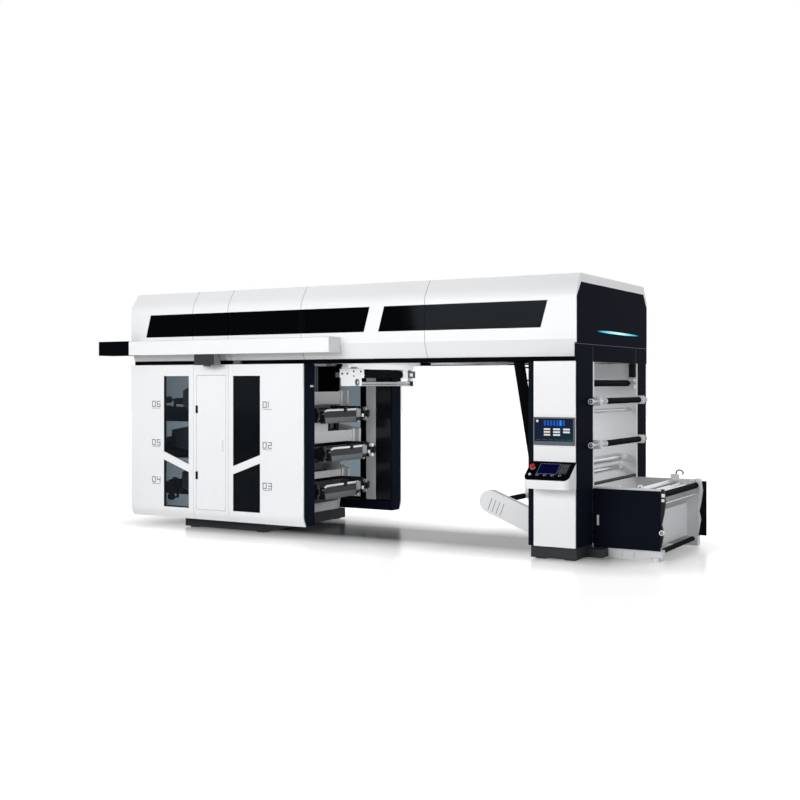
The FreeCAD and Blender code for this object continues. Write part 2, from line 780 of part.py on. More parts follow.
def winder():
    """The low winding unit at the tower's outer end."""
    y0 = column_inner_front
    y1 = y0 + winder_skin
    y2 = y1 + winder_plate
    far = 2 * tower_mid - y2
    sheet = box(winder_gap, winder_door_right, y0, y1, winder_low, winder_high)
    grip = box(winder_grip[0], winder_grip[1], y0 - winder_grip_depth, y0, winder_grip[2],
               winder_grip[3])
    save("winder_door", sheet.fuse(grip))
    cover = box(0, winder_length, y0, y1, winder_low, winder_high)
    save("winder_cover_rear", mirror_y(cover, tower_mid))
    outline = [(0, winder_low)] + list(winder_edge) + [(0, winder_plate_high)]
    plate = prism(outline, "y", y1, y2, {2: 40.0, 3: 60.0, 6: 25.0})
    save("winder_side_plates", both_sides(plate, tower_mid))
    save("winder_cross_panel", box(winder_panel_x, winder_panel_x + tower_skin, y2, far,
                                   winder_low, winder_panel_high))
    rail = box(winder_base_left, winder_corner_left, y1, y1 + winder_base_depth - 20, 0, winder_low)
    pitch = (winder_corner_left - winder_base_left) / recess_count
    for k in range(recess_count):
        x = winder_base_left + pitch * k + recess_margin
        rail = rail.cut(box(x, x + pitch - 2 * recess_margin, y1 - 1, y1 + recess_depth,
                            recess_margin, winder_low - recess_margin))
    corner = box(winder_corner_left, winder_corner_right, y1, y1 + winder_base_depth, 0, winder_low)
    save("winder_base", both_sides(rail.fuse(corner).removeSplitter(), tower_mid))
    for name, place_of, near in (("winder_roller_top", winder_top_roller, y2),
                                 ("winder_roller_bottom", winder_bottom_roller,
                                  y1 + winder_base_depth)):
        x, z, radius = place_of
        opposite = 2 * tower_mid - near
        save(name, roller(x, z, near + 20, opposite - 20, radius, near + seat_gap,
                          opposite - seat_gap, winder_shaft_radius))
    save("winder_idlers", [rod("y", x, z, y2, far, radius) for x, z, radius in winder_idler_places])


def lifting_rail():
    """A covered rail along the hood for lifting plate rollers, with its trolley."""
    section = [(-rail_depth, rail_low), (-rail_depth, rail_high), (0, rail_high),
               (0, rail_high - rail_sheet), (-rail_depth + rail_sheet, rail_high - rail_sheet),
               (-rail_depth + rail_sheet, rail_low)]
    cover = prism(section, "x", rail_left, rail_right, {1: 25.0, 4: 13.0})
    for x in (rail_left, rail_right - rail_sheet):
        end = box(x, x + rail_sheet, -rail_depth, 0, rail_low, rail_high)
        end = end.makeFillet(25.0, [e for e in end.Edges if level_along_x(e, -rail_depth, rail_high)])
        cover = cover.fuse(end)
    save("rail_cover", cover.removeSplitter())
    tip = box(rail_tip, rail_left, -rail_depth, 0, rail_low, rail_high)
    tip = tip.cut(box(rail_tip + rail_sheet, rail_left + 1, -rail_depth + rail_sheet, -rail_sheet,
                      rail_low - 1, rail_high - rail_sheet))
    save("rail_tip", tip)
    lid = rail_high - rail_sheet
    flange = track_low + rail_sheet
    web = track_web_half
    track = [(-track_half, track_low), (track_half, track_low), (track_half, flange),
             (web, flange), (web, lid), (-web, lid), (-web, flange), (-track_half, flange)]
    track = [(track_y + y, z) for y, z in track]
    save("rail_track", prism(track, "x", rail_left + rail_sheet, rail_right - rail_sheet))
    body_top = track_low - trolley_gap
    body = box(trolley_left, trolley_right, track_y - trolley_half, track_y + trolley_half,
               track_low - trolley_drop, body_top)
    cheek_left = trolley_left + trolley_cheek_inset
    cheek_right = trolley_right - trolley_cheek_inset
    for y in (track_y - trolley_half, track_y + trolley_half - trolley_cheek):
        body = body.fuse(box(cheek_left, cheek_right, y, y + trolley_cheek,
                             body_top, track_low + trolley_cheek_rise))
    wheel_z = flange + seat_gap + wheel_radius
    near = track_y - trolley_half + trolley_cheek
    far = track_y + wheel_set_back
    for x, y in ((trolley_left + wheel_inset, near), (trolley_right - wheel_inset, far)):
        body = body.fuse(rod("y", x, wheel_z, y, y + far - near - 2 * wheel_set_back, wheel_radius))
    save("hoist_trolley", body.removeSplitter())


def level_along_x(edge, y, z):
    """True for an edge that runs along the press at the given depth and height."""
    return all(abs(v.Point.y - y) < 0.1 and abs(v.Point.z - z) < 0.1 for v in edge.Vertexes)


def transfer():
    """The web's guide frame under the hood: a bar, two end blocks, a roller and a rod."""
    near = guide_near + guide_block
    far = guide_far - guide_block + 50
    bar_low = cover_top - guide_bar_height
    frame = box(guide_x - 50, guide_x + 50, guide_near, guide_far, bar_low, cover_top)
    frame = frame.fuse(box(guide_x - 100, guide_x + 80, guide_near, near,
                           guide_roller_z - guide_roller_radius, bar_low))
    frame = frame.fuse(box(guide_x - 90, guide_x + 50, guide_near + 20, near - 20,
                           guide_rod_z - 45, guide_roller_z - guide_roller_radius))
    frame = frame.fuse(box(guide_x - 50, guide_x + 50, far, far + guide_far_block,
                           guide_roller_z - guide_roller_radius, bar_low))
    frame = frame.fuse(box(guide_x - 30, guide_x + 30, guide_far - 60, guide_far,
                           guide_rod_z - 45, bar_low))
    frame = frame.fuse(rod("y", guide_x, guide_rod_z, near - 20, guide_far - 60, guide_rod_radius))
    save("transfer_frame", frame.removeSplitter())
    save("transfer_roller", roller(guide_x, guide_roller_z, near + 25, far - 25,
                                   guide_roller_radius, near + seat_gap, far - seat_gap, 20.0))


tower()
tower_rollers()
swing_arm()
winder()
lifting_rail()
transfer()
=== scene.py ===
# %% [markdown]
# A flexographic press stands in a pale studio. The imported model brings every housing, roller
# and door at its real size, and this lesson gives them their paint, glass and chrome, and adds
# the small things: screens, buttons, bearings, deck numbers and seams.

# %% Load the frame
import math
import bpy
import bmesh
from mathutils import Matrix, Vector


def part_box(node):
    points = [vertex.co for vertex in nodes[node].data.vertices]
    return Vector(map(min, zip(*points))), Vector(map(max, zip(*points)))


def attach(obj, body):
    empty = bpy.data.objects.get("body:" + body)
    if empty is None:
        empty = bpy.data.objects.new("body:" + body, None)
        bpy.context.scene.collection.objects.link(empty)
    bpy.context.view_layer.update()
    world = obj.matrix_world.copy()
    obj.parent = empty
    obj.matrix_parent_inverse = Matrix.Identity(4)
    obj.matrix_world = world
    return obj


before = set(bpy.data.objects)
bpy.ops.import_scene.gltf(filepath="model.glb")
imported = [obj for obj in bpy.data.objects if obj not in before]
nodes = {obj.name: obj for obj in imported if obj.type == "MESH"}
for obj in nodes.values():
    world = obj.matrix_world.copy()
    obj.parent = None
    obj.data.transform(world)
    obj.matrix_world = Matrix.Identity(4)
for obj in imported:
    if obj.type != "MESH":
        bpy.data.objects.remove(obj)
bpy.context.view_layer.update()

# %% [markdown]
# Paint colours are written as people write them, as sRGB hex values. Blender's shaders work in
# linear light, so one function turns a hex value into that. It could be done by eye with the
# colour picker, but a function keeps every colour readable.

# %% Hex colours to linear
def linear(hex_value, alpha=1.0):
    parts = [int(hex_value[i:i + 2], 16) / 255 for i in (1, 3, 5)]
    turned = [c / 12.92 if c <= 0.04045 else ((c + 0.055) / 1.055) ** 2.4 for c in parts]
    return (*turned, alpha)


# %% [markdown]
# A shader is a small graph. One helper adds a node, sets its values by socket name and links
# what it is given, so a finish reads as a short list of nodes.

# %% A node with its settings and links
def add_node(tree, kind, links=None, **settings):
    node = tree.nodes.new(kind)
    for name, value in settings.items():
        if hasattr(node, name):
            setattr(node, name, value)
        else:
            node.inputs[name.replace("_", " ")].default_value = value
    for name, source in (links or {}).items():
        socket = node.inputs[name] if isinstance(name, (int, str)) else name
        tree.links.new(source, socket)
    return node


def new_material(name):
    material = bpy.data.materials.new(name)
    material.use_nodes = True
    tree = material.node_tree
    tree.nodes.clear()
    output = tree.nodes.new("ShaderNodeOutputMaterial")
    return material, tree, output


# %% [markdown]
# Powder coat is polymer powder baked on steel sheet. It has a soft sheen and a faint orange
# peel of waves about 2 mm across, too fine to show on a machine nine metres long, so the waves
# are drawn at 12 mm. Large, weak mottling of tone and gloss stands for the small waves of thin
# sheet; its tone is painted light and shade of those waves.

# %% Powder-coated sheet
def powder_coat(name, colour, shade, roughness=0.38, shine=0.5, peel_mm=12.0):
    material, tree, output = new_material(name)
    place = add_node(tree, "ShaderNodeTexCoord")
    peel = add_node(tree, "ShaderNodeTexNoise", {"Vector": place.outputs["Object"]},
                    Scale=1000 / peel_mm, Detail=2.0)
    sheet_wave_shading = add_node(tree, "ShaderNodeTexNoise", {"Vector": place.outputs["Object"]},
                    Scale=0.9, Detail=1.0)
    # Painted light and shade: the tone drifts between colour and shade in large patches.
    tone = add_node(tree, "ShaderNodeMix", {"Factor": sheet_wave_shading.outputs["Fac"]}, data_type="RGBA")
    tone.inputs[6].default_value = linear(colour)
    tone.inputs[7].default_value = linear(shade)
    gloss = add_node(tree, "ShaderNodeMapRange", {"Value": sheet_wave_shading.outputs["Fac"]})
    gloss.inputs["To Min"].default_value = roughness - 0.06
    gloss.inputs["To Max"].default_value = roughness + 0.06
    bump = add_node(tree, "ShaderNodeBump", {"Height": peel.outputs["Fac"]},
                    Strength=0.08, Distance=0.001)
    surface = add_node(tree, "ShaderNodeBsdfPrincipled",
                       {"Base Color": tone.outputs[2], "Roughness": gloss.outputs["Result"],
                        "Normal": bump.outputs["Normal"]}, IOR=1.5, Specular_IOR_Level=shine)
    tree.links.new(surface.outputs[0], output.inputs[0])
    return material


white_coat = powder_coat("white powder coat", "#f2f3f4", "#ecedef")
navy_coat = powder_coat("navy powder coat", "#12161f", "#151a25", roughness=0.36, shine=0.002)
grey_coat = powder_coat("light grey enamel", "#e0e1e3", "#d7d9db", roughness=0.42)
dark_coat = powder_coat("graphite enamel", "#303236", "#26282c", roughness=0.5, shine=0.25)
black_coat = powder_coat("black powder coat", "#08090b", "#0b0c10", roughness=0.4, shine=0.002)
print("finishes:", [coat.name for coat in (white_coat, navy_coat, grey_coat, dark_coat, black_coat)])

# %% [markdown]
# The guide rollers are steel tube, hard chromed and ground round. Grinding leaves hair-fine
# rings about the axis, and those stretch every highlight. The rings are drawn as bands across
# the press, 3 mm apart, far wider than the real ones. An image of scratches could do it too,
# but a wave texture needs no file.

# %% Ground chrome
def ground_chrome(name, colour, ring_mm=3.0, roughness=0.16):
    material, tree, output = new_material(name)
    place = add_node(tree, "ShaderNodeTexCoord")
    rings = add_node(tree, "ShaderNodeTexWave", {"Vector": place.outputs["Object"]},
                     bands_direction="Y", Scale=1000 / ring_mm / 20, Distortion=0.4)
    gloss = add_node(tree, "ShaderNodeMapRange", {"Value": rings.outputs["Fac"]})
    gloss.inputs["To Min"].default_value = roughness - 0.04
    gloss.inputs["To Max"].default_value = roughness + 0.06
    surface = add_node(tree, "ShaderNodeBsdfPrincipled",
                       {"Roughness": gloss.outputs["Result"]}, Metallic=1.0,
                       Base_Color=linear(colour))
    tree.links.new(surface.outputs[0], output.inputs[0])
    return material


chrome = ground_chrome("hard chrome", "#d8dade")
print("finish:", chrome.name)

# %% [markdown]
# Drive and idler rollers are covered in black nitrile rubber, ground smooth. It is almost
# matte, with a dusty grain of about 4 mm patches. A noise texture gives both its tone and its
# small bumps.

# %% Nitrile rubber
def nitrile(name, colour, dust, grain_mm=4.0):
    material, tree, output = new_material(name)
    place = add_node(tree, "ShaderNodeTexCoord")
    grain = add_node(tree, "ShaderNodeTexNoise", {"Vector": place.outputs["Object"]},
                     Scale=1000 / grain_mm / 4, Detail=4.0)
    tone = add_node(tree, "ShaderNodeMix", {"Factor": grain.outputs["Fac"]}, data_type="RGBA")
    tone.inputs[6].default_value = linear(colour)
    tone.inputs[7].default_value = linear(dust)
    bump = add_node(tree, "ShaderNodeBump", {"Height": grain.outputs["Fac"]},
                    Strength=0.15, Distance=0.0006)
    surface = add_node(tree, "ShaderNodeBsdfPrincipled",
                       {"Base Color": tone.outputs[2], "Normal": bump.outputs["Normal"]},
                       Roughness=0.55, IOR=1.52, Specular_IOR_Level=0.01)
    tree.links.new(surface.outputs[0], output.inputs[0])
    return material


rubber = nitrile("nitrile rubber", "#08090a", "#131416")
print("finish:", rubber.name)

# %% [markdown]
# The windows are tinted acrylic sheet. It lets a cool grey light through and mirrors the room
# at a flat angle. Real refraction costs time and adds nothing on flat sheet, so a see-through
# shader is mixed with a glossy one by Fresnel.

# %% Tinted acrylic
def tinted_sheet(name, tint, shine, roughness=0.04):
    material, tree, output = new_material(name)
    place = add_node(tree, "ShaderNodeTexCoord")
    haze = add_node(tree, "ShaderNodeTexNoise", {"Vector": place.outputs["Object"]},
                    Scale=1.3, Detail=2.0)
    gloss = add_node(tree, "ShaderNodeMapRange", {"Value": haze.outputs["Fac"]})
    gloss.inputs["To Min"].default_value = roughness
    gloss.inputs["To Max"].default_value = roughness + 0.05
    through = add_node(tree, "ShaderNodeBsdfTransparent", Color=linear(tint))
    mirror = add_node(tree, "ShaderNodeBsdfGlossy", {"Roughness": gloss.outputs["Result"]},
                      Color=linear(shine))
    edge = add_node(tree, "ShaderNodeFresnel", IOR=1.49)
    mixed = add_node(tree, "ShaderNodeMixShader", {0: edge.outputs[0], 1: through.outputs[0],
                                                   2: mirror.outputs[0]})
    tree.links.new(mixed.outputs[0], output.inputs[0])
    return material


smoke_sheet = tinted_sheet("smoke acrylic", "#a9b1b7", "#70777d")
dark_sheet = tinted_sheet("dark smoke acrylic", "#3c434a", "#3e4347")
print("finishes:", smoke_sheet.name, "and", dark_sheet.name)

# %% [markdown]
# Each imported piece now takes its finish. The names say which pieces share one: what is white
# in the paint shop, what is navy, and what runs as chrome or rubber. They could be picked one
# by one in the viewport, but a table of name beginnings is easier to read and to change.

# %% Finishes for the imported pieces
finishes = {
    white_coat: ["hood_section_", "rail_cover", "cover_front_", "door_", "cover_rear", "cabinet_door",
                 "tower_panels", "console_body", "tower_side_plates", "swing_arm",
                 "transfer_frame"],
    navy_coat: ["cover_liner_", "end_panel", "tower_column_", "winder_door", "winder_cover_rear"],
    black_coat: ["hood_beams", "tower_gussets", "rail_tip", "console_top", "control_screen"],
    grey_coat: ["unit_frame_", "winder_side_plates", "winder_base", "hood_crossbeams",
                "winder_cross_panel", "deck_trays"],
    dark_coat: ["unit_base", "tower_base", "hood_dryer", "hoist_trolley", "rail_track", "deck_"],
    chrome: ["impression_drum", "anilox_rollers", "winder_idlers", "tower_inner_rollers"],
    rubber: ["plate_rollers", "tower_roller_", "tower_nip_roller", "winder_roller_", "transfer_roller"],
    smoke_sheet: ["cover_glass"],
    dark_sheet: ["hood_glass"],
}
finished = set()
for material, starts in finishes.items():
    for name, piece in nodes.items():
        if name in finished or not any(name.startswith(start) for start in starts):
            continue
        for slot in piece.material_slots:
            slot.material = material
        finished.add(name)
print("without a finish:", sorted(set(nodes) - finished))

# %% [markdown]
# Small parts are placed as a fitter would measure them: along the press from the tower's outer
# face, back from the covers' front and up from the floor. The first two come from the packed
# pieces, so each small part sits on what carries it. They could be modelled in the drawing
# too, but there they would only slow the motion model.

# %% Where small parts are counted from
tower_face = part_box("end_panel")[1][0]
front_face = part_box("cover_front_left")[0][1]
print("counted from x = %.3f m and y = %.3f m" % (tower_face, front_face))


def at(x, y, z):
    return Vector((tower_face + x, front_face + y, z))


# %% [markdown]
# Every small part ends the same way: its edges are rounded, it is moved to its place, and it
# gets its shading, its finish and the body it rides on. A modifier could round the edges, but
# here the mesh is finished at once.

# %% From a mesh to a named part
def hand_over(shape, name, material, body, edge=0.0, turn=None):
    """Make a named object of a bmesh in press measures and let it ride on a body."""
    if edge:
        bmesh.ops.bevel(shape, geom=shape.edges[:], offset=edge, segments=2, profile=0.7,
                        affect="EDGES", clamp_overlap=True)
    if turn:
        bmesh.ops.transform(shape, matrix=turn, verts=shape.verts)
    bmesh.ops.translate(shape, vec=at(0, 0, 0), verts=shape.verts)
    bmesh.ops.recalc_face_normals(shape, faces=shape.faces)
    mesh = bpy.data.meshes.new(name)
    shape.to_mesh(mesh)
    shape.free()
    mesh.shade_smooth()
    mesh.set_sharp_from_angle(angle=math.radians(35))
    mesh.materials.append(material)
    thing = bpy.data.objects.new(name, mesh)
    bpy.context.collection.objects.link(thing)
    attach(thing, body)
    print("%s: %d faces, rides with %s" % (name, len(mesh.polygons), body))
    return thing


# %% [markdown]
# Sheet and block parts are boxes, given from edge to edge as on a drawing. Several boxes with
# one finish make one object.

# %% Boxes
def blocks(name, material, body, sizes, edge=0.0, turn=None):
    """Boxes given as x, y and z from and to, all in one object."""
    shape = bmesh.new()
    for x0, x1, y0, y1, z0, z1 in sizes:
        middle = Matrix.Translation(((x0 + x1) / 2, (y0 + y1) / 2, (z0 + z1) / 2))
        scale = Matrix.Diagonal((x1 - x0, y1 - y0, z1 - z0, 1))
        bmesh.ops.create_cube(shape, size=1.0, matrix=middle @ scale)
    return hand_over(shape, name, material, body, edge, turn)


# %% [markdown]
# Knobs, shafts and hubs are round bars. Each is made upright and then turned towards the axis
# it lies along.

# %% Round bars
toward = {"x": Matrix.Rotation(math.radians(90), 4, "Y"),
          "y": Matrix.Rotation(math.radians(-90), 4, "X"), "z": Matrix.Identity(4)}


def rounds(name, material, body, rods, sides=32, edge=0.0, turn=None):
    """Round bars given as axis, the middle of one end, length and radius."""
    shape = bmesh.new()
    for axis, x, y, z, length, radius in rods:
        turned = toward[axis]
        middle = Vector((x, y, z)) + turned @ Vector((0, 0, length / 2))
        bmesh.ops.create_cone(shape, cap_ends=True, segments=sides, radius1=radius, radius2=radius,
                              depth=length, matrix=Matrix.Translation(middle) @ turned)
    return hand_over(shape, name, material, body, edge, turn)


# %% [markdown]
# A few parts are cut to an outline that is no box. The outline is drawn as one face, and that
# face is pushed out to its thickness.

# %% Cut profiles
def slab(name, material, body, outline, axis, start, thickness, edge=0.0):
    """A flat outline thickened along x or y."""
    shape = bmesh.new()
    if axis == "x":
        corners = [(start, a, b) for a, b in outline]
        push = (thickness, 0, 0)
    else:
        corners = [(a, start, b) for a, b in outline]
        push = (0, thickness, 0)
    face = shape.faces.new([shape.verts.new(corner) for corner in corners])
    grown = bmesh.ops.extrude_face_region(shape, geom=[face])
    fresh = [v for v in grown["geom"] if isinstance(v, bmesh.types.BMVert)]
    bmesh.ops.translate(shape, vec=push, verts=fresh)
    return hand_over(shape, name, material, body, edge)


# %% [markdown]
# Bent rods follow a path of points. A curve with a round section is the short way to them,
# since only the path has to be given.

# %% Bent bars
def bent_bar(name, material, body, points, radius):
    """A round bar along a bent path."""
    path = bpy.data.curves.new(name, "CURVE")
    path.dimensions = "3D"
    path.bevel_depth = radius
    path.bevel_resolution = 3
    path.use_fill_caps = True
    line = path.splines.new("POLY")
    line.points.add(len(points) - 1)
    for spot, (x, y, z) in zip(line.points, points):
        spot.co = (*at(x, y, z), 1)
    path.materials.append(material)
    thing = bpy.data.objects.new(name, path)
    bpy.context.collection.objects.link(thing)
    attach(thing, body)
    print("%s: bar of %d points, rides with %s" % (name, len(points), body))
    return thing


# %% [markdown]
# Plain finishes for small parts: moulded ABS, satin stainless steel and lamps. A lamp is
# acrylic with light behind it, and an emission shader shows that. One function makes all the
# unlit ones, since they differ only in colour, roughness, metal and shine.

# %% Finishes for small parts
def plain(name, colour, roughness, metallic=0.0, shine=0.5):
    material, tree, output = new_material(name)
    place = add_node(tree, "ShaderNodeTexCoord")
    wear = add_node(tree, "ShaderNodeTexNoise", {"Vector": place.outputs["Object"]},
                    Scale=60.0, Detail=3.0)
    gloss = add_node(tree, "ShaderNodeMapRange", {"Value": wear.outputs["Fac"]})
    gloss.inputs["To Min"].default_value = roughness - 0.05
    gloss.inputs["To Max"].default_value = roughness + 0.05
    surface = add_node(tree, "ShaderNodeBsdfPrincipled", {"Roughness": gloss.outputs["Result"]},
                       Base_Color=linear(colour), Metallic=metallic, Specular_IOR_Level=shine)
    tree.links.new(surface.outputs[0], output.inputs[0])
    return material


def lamp_face(name, colour, strength=1.0):
    material, tree, output = new_material(name)
    glow = add_node(tree, "ShaderNodeEmission", Color=linear(colour), Strength=strength)
    tree.links.new(glow.outputs[0], output.inputs[0])
    return material


white_abs = plain("white ABS", "#eceded", 0.35)
grey_abs = plain("grey ABS", "#8d9196", 0.45)
black_abs = plain("black ABS", "#0c0d0f", 0.45, shine=0.2)
dark_abs = plain("graphite ABS", "#4b4d50", 0.45, shine=0.3)
red_abs = plain("red ABS", "#c8141c", 0.3)
bezel = plain("anodised bezel", "#555a60", 0.4, shine=0.3)
stainless = plain("stainless steel", "#c9cbce", 0.28, metallic=1.0)
bright_steel = plain("polished zinc", "#e6e7e9", 0.2, metallic=0.6)
steel = plain("burnished steel", "#6c6f73", 0.35, metallic=1.0)

# %% [markdown]
# The operator's screen is a flat panel in an anodised bezel. It shows its picture as plain
# lit fields: a row of blue tiles, three columns of readings and a status dot. The picture
# could be an image, but flat lit shapes keep the lesson free of files.

# %% The operator's screen
def screen_glass(name, first, last, left, right, low, high):
    """A lit panel that turns from one colour to another towards its lower right."""
    material, tree, output = new_material(name)
    place = add_node(tree, "ShaderNodeTexCoord")
    axes = add_node(tree, "ShaderNodeSeparateXYZ", {0: place.outputs["Object"]})
    across = add_node(tree, "ShaderNodeMapRange", {"Value": axes.outputs["X"]})
    across.inputs["From Min"].default_value = tower_face + left
    across.inputs["From Max"].default_value = tower_face + right
    down = add_node(tree, "ShaderNodeMapRange", {"Value": axes.outputs["Z"]})
    down.inputs["From Min"].default_value = high
    down.inputs["From Max"].default_value = low
    both = add_node(tree, "ShaderNodeMath", {0: across.outputs[0], 1: down.outputs[0]},
                    operation="MULTIPLY")
    tone = add_node(tree, "ShaderNodeMix", {"Factor": both.outputs[0]}, data_type="RGBA")
    tone.inputs[6].default_value = linear(first)
    tone.inputs[7].default_value = linear(last)
    glow = add_node(tree, "ShaderNodeEmission", {"Color": tone.outputs[2]})
    tree.links.new(glow.outputs[0], output.inputs[0])
    return material


nodes["control_screen"].material_slots[0].material = bezel
glass_front, glass_back = -0.0200, -0.0182
picture = screen_glass("screen picture", "#1c2236", "#17343a", -0.572, -0.037, 1.56, 1.851)
blocks("screen_picture", picture, "press",
       [(-0.5715, -0.0335, glass_front, glass_back, 1.556, 1.8515)])
blocks("screen_chin", bezel, "press",
       [(-0.5718, -0.0332, -0.0215, glass_back, 1.5232, 1.5555)])

# %% [markdown]
# The fields lie a hair in front of the glass. The first column starts at the tiles' left edge,
# and all rows share one pitch. Each field could be typed in on its own, but a start and a pitch
# keep them in line.

# %% Fields on the screen
field_front = -0.0206
field_left = -0.440
tile_width, tile_pitch, lit_tile = 0.0290, 0.0435, 5
row_low, row_high, row_pitch = 1.703, 1.725, 0.0365
tiles = []
for k in range(7):
    x = field_left + k * tile_pitch
    tiles.append((x, x + tile_width, field_front, glass_front, 1.760, 1.830))
blocks("screen_tiles", lamp_face("blue tile", "#2456b8"), "press",
       tiles[:lit_tile] + tiles[lit_tile + 1:])
blocks("screen_tile_lit", lamp_face("lit tile", "#2f8df0"), "press",
       [tiles[lit_tile]])


def column(x0, x1, rows):
    """Fields below one another, from the top row down."""
    return [(x0, x1, field_front, glass_front, row_low - k * row_pitch, row_high - k * row_pitch)
            for k in range(rows)]


blocks("screen_readings", lamp_face("white field", "#dfe6ee"), "press",
       column(-0.310, -0.215, 3) + column(-0.172, -0.080, 2))
blocks("screen_setpoints", lamp_face("cream field", "#e6e0cf"), "press",
       column(field_left, -0.352, 3))
footer_pitch = 0.085
footer = [(-0.545 + k * footer_pitch, -0.485 + k * footer_pitch, field_front, glass_front,
           1.572, 1.580) for k in range(6)]
blocks("screen_footer", lamp_face("grey field", "#46506a"), "press", footer)
rounds("screen_dot", lamp_face("status dot", "#e6d9d4"), "press",
       [("y", -0.533, field_front, 1.819, 0.0006, 0.017)])

# %% [markdown]
# The desk below slopes 36 degrees. Each small part could be turned by hand, but one matrix
# keeps all in one plane: they are drawn flat and laid on it, with x along the desk and y up its
# slope.

# %% The desk
desk_rise = math.atan2(0.212, 0.290)
desk_back_height = 1.292
desk = Matrix.Translation((0, 0, desk_back_height)) @ Matrix.Rotation(desk_rise, 4, "X")
off_face = 0.0002


def up_slope(y):
    """A level distance, measured along the slope."""
    return y / math.cos(desk_rise)


blocks("desk_screen_rim", plain("violet rim", "#5a5a8a", 0.4), "press",
       [(-0.472, -0.190, up_slope(-0.205), up_slope(-0.038), off_face, 0.004)], 0.001, desk)
blocks("desk_screen", lamp_face("desk screen", "#0a0a30"), "press",
       [(-0.464, -0.198, up_slope(-0.199), up_slope(-0.044), 0.004, 0.0048)], 0.0, desk)
key_width, key_depth = 0.012, 0.016
key_pitch_across, key_pitch_up = 0.0185, 0.026
keys = []
for row in range(7):
    for place in range(6):
        x = -0.172 + place * key_pitch_across
        y = up_slope(-0.190) + row * key_pitch_up
        keys.append((x, x + key_width, y, y + key_depth, 0.0025, 0.0075))
blocks("desk_keypad", black_abs, "press",
       [(-0.180, -0.058, up_slope(-0.198), up_slope(-0.038), off_face, 0.0025)], 0.001, desk)
blocks("desk_keys", bezel, "press", keys, 0.001, desk)

# %% [markdown]
# A row of push buttons runs along the desk's front edge, each in a stainless rim. At the left
# a red stop button stands on its collar and stem. Short round bars are enough for parts of a
# few centimetres.

# %% Buttons of the desk
push_places = (-0.449, -0.345, -0.241, -0.138)
left_place = -0.552
push_row, stop_row = up_slope(-0.222), up_slope(-0.115)
rounds("desk_push_rims", stainless, "press",
       [("z", x, push_row, off_face, 0.006, 0.021) for x in (left_place,) + push_places],
       24, 0.001, desk)
rounds("desk_push_buttons", dark_abs, "press",
       [("z", x, push_row, 0.006, 0.007, 0.015) for x in push_places], 24, 0.002, desk)
rounds("desk_white_button", white_abs, "press",
       [("z", left_place, push_row, 0.006, 0.009, 0.016)], 24, 0.002, desk)
rounds("stop_collar", grey_abs, "press",
       [("z", left_place, stop_row, off_face, 0.014, 0.036)], 32, 0.003, desk)
rounds("stop_stem", grey_abs, "press",
       [("z", left_place, stop_row, 0.014, 0.016, 0.020)], 24, 0.0, desk)
rounds("stop_button", red_abs, "press",
       [("z", left_place, stop_row, 0.028, 0.020, 0.035)], 40, 0.007, desk)

# %% [markdown]
# A thin acrylic light guide crosses the end panel. The lamp sits in its middle, so it glows
# white there, cyan further out, and fades at its ends. A row of lamps could do it too, but one
# colour ramp along the guide is simpler.

# %% The light guide
guide_near, guide_far = 0.70, 2.60
glow_mat, tree, output = new_material("lit acrylic")
place = add_node(tree, "ShaderNodeTexCoord")
axes = add_node(tree, "ShaderNodeSeparateXYZ", {0: place.outputs["Object"]})
along = add_node(tree, "ShaderNodeMapRange", {"Value": axes.outputs["Y"]})
along.inputs["From Min"].default_value = front_face + guide_near
along.inputs["From Max"].default_value = front_face + guide_far
tone = add_node(tree, "ShaderNodeValToRGB", {0: along.outputs[0]})
stops = ((0.0, "#0d1118"), (0.04, "#15384a"), (0.12, "#2fc4e4"), (0.5, "#d2feff"),
         (0.86, "#2fc4e4"), (0.95, "#15384a"), (1.0, "#0d1118"))
ramp = tone.color_ramp
ramp.elements[0].color = linear(stops[0][1])
ramp.elements[1].color = linear(stops[-1][1])
for position, colour in stops[1:-1]:
    ramp.elements.new(position).color = linear(colour)
glow = add_node(tree, "ShaderNodeEmission", {"Color": tone.outputs[0]}, Strength=1.1)
tree.links.new(glow.outputs[0], output.inputs[0])
guide_shape = [(guide_near, 3.008), (1.25, 2.997), (1.9, 2.994), (guide_far, 3.004),
               (guide_far, 3.012), (1.9, 3.026), (1.25, 3.030), (guide_near, 3.018)]
slab("light_guide", glow_mat, "press", guide_shape, "x", off_face, 0.004)

# %% [markdown]
# The six ink decks are numbered on the covers in square grey digits over a short line. Text
# could be used, but its digits are narrow, so each is made of strokes round two cells, one
# above the other. A table says which strokes a digit has.

# %% Strokes of the digits
bar_grey = plain("printed grey", "#7b7e82", 0.6, shine=0.2)
ink_front, ink_back = -0.0008, -0.0002
digit_wide, digit_high, stroke, digit_pitch = 0.072, 0.098, 0.0135, 0.098
left, right = (0, stroke), (digit_wide - stroke, digit_wide)
foot, middle, top = 0, (digit_high - stroke) / 2, digit_high - stroke
strokes = {"upper_left": left + (middle, digit_high), "lower_left": left + (0, middle + stroke),
           "upper_right": right + (middle, digit_high), "lower_right": right + (0, middle + stroke),
           "top": (0, digit_wide, top, digit_high), "foot": (0, digit_wide, foot, stroke),
           "middle": (0, digit_wide, middle, middle + stroke)}
digits = {"0": "top foot upper_left lower_left upper_right lower_right",
          "1": "upper_left lower_left", "2": "top upper_right middle lower_left foot",
          "3": "top upper_right middle lower_right foot",
          "4": "upper_left middle upper_right lower_right",
          "5": "top upper_left middle lower_right foot",
          "6": "top upper_left middle lower_left lower_right foot"}
print("a digit is %.0f by %.0f mm" % (digit_wide * 1000, digit_high * 1000))

# %% [markdown]
# A number is two digits side by side, and the line below spans about the same width. One
# function draws it, and a table gives the six places.

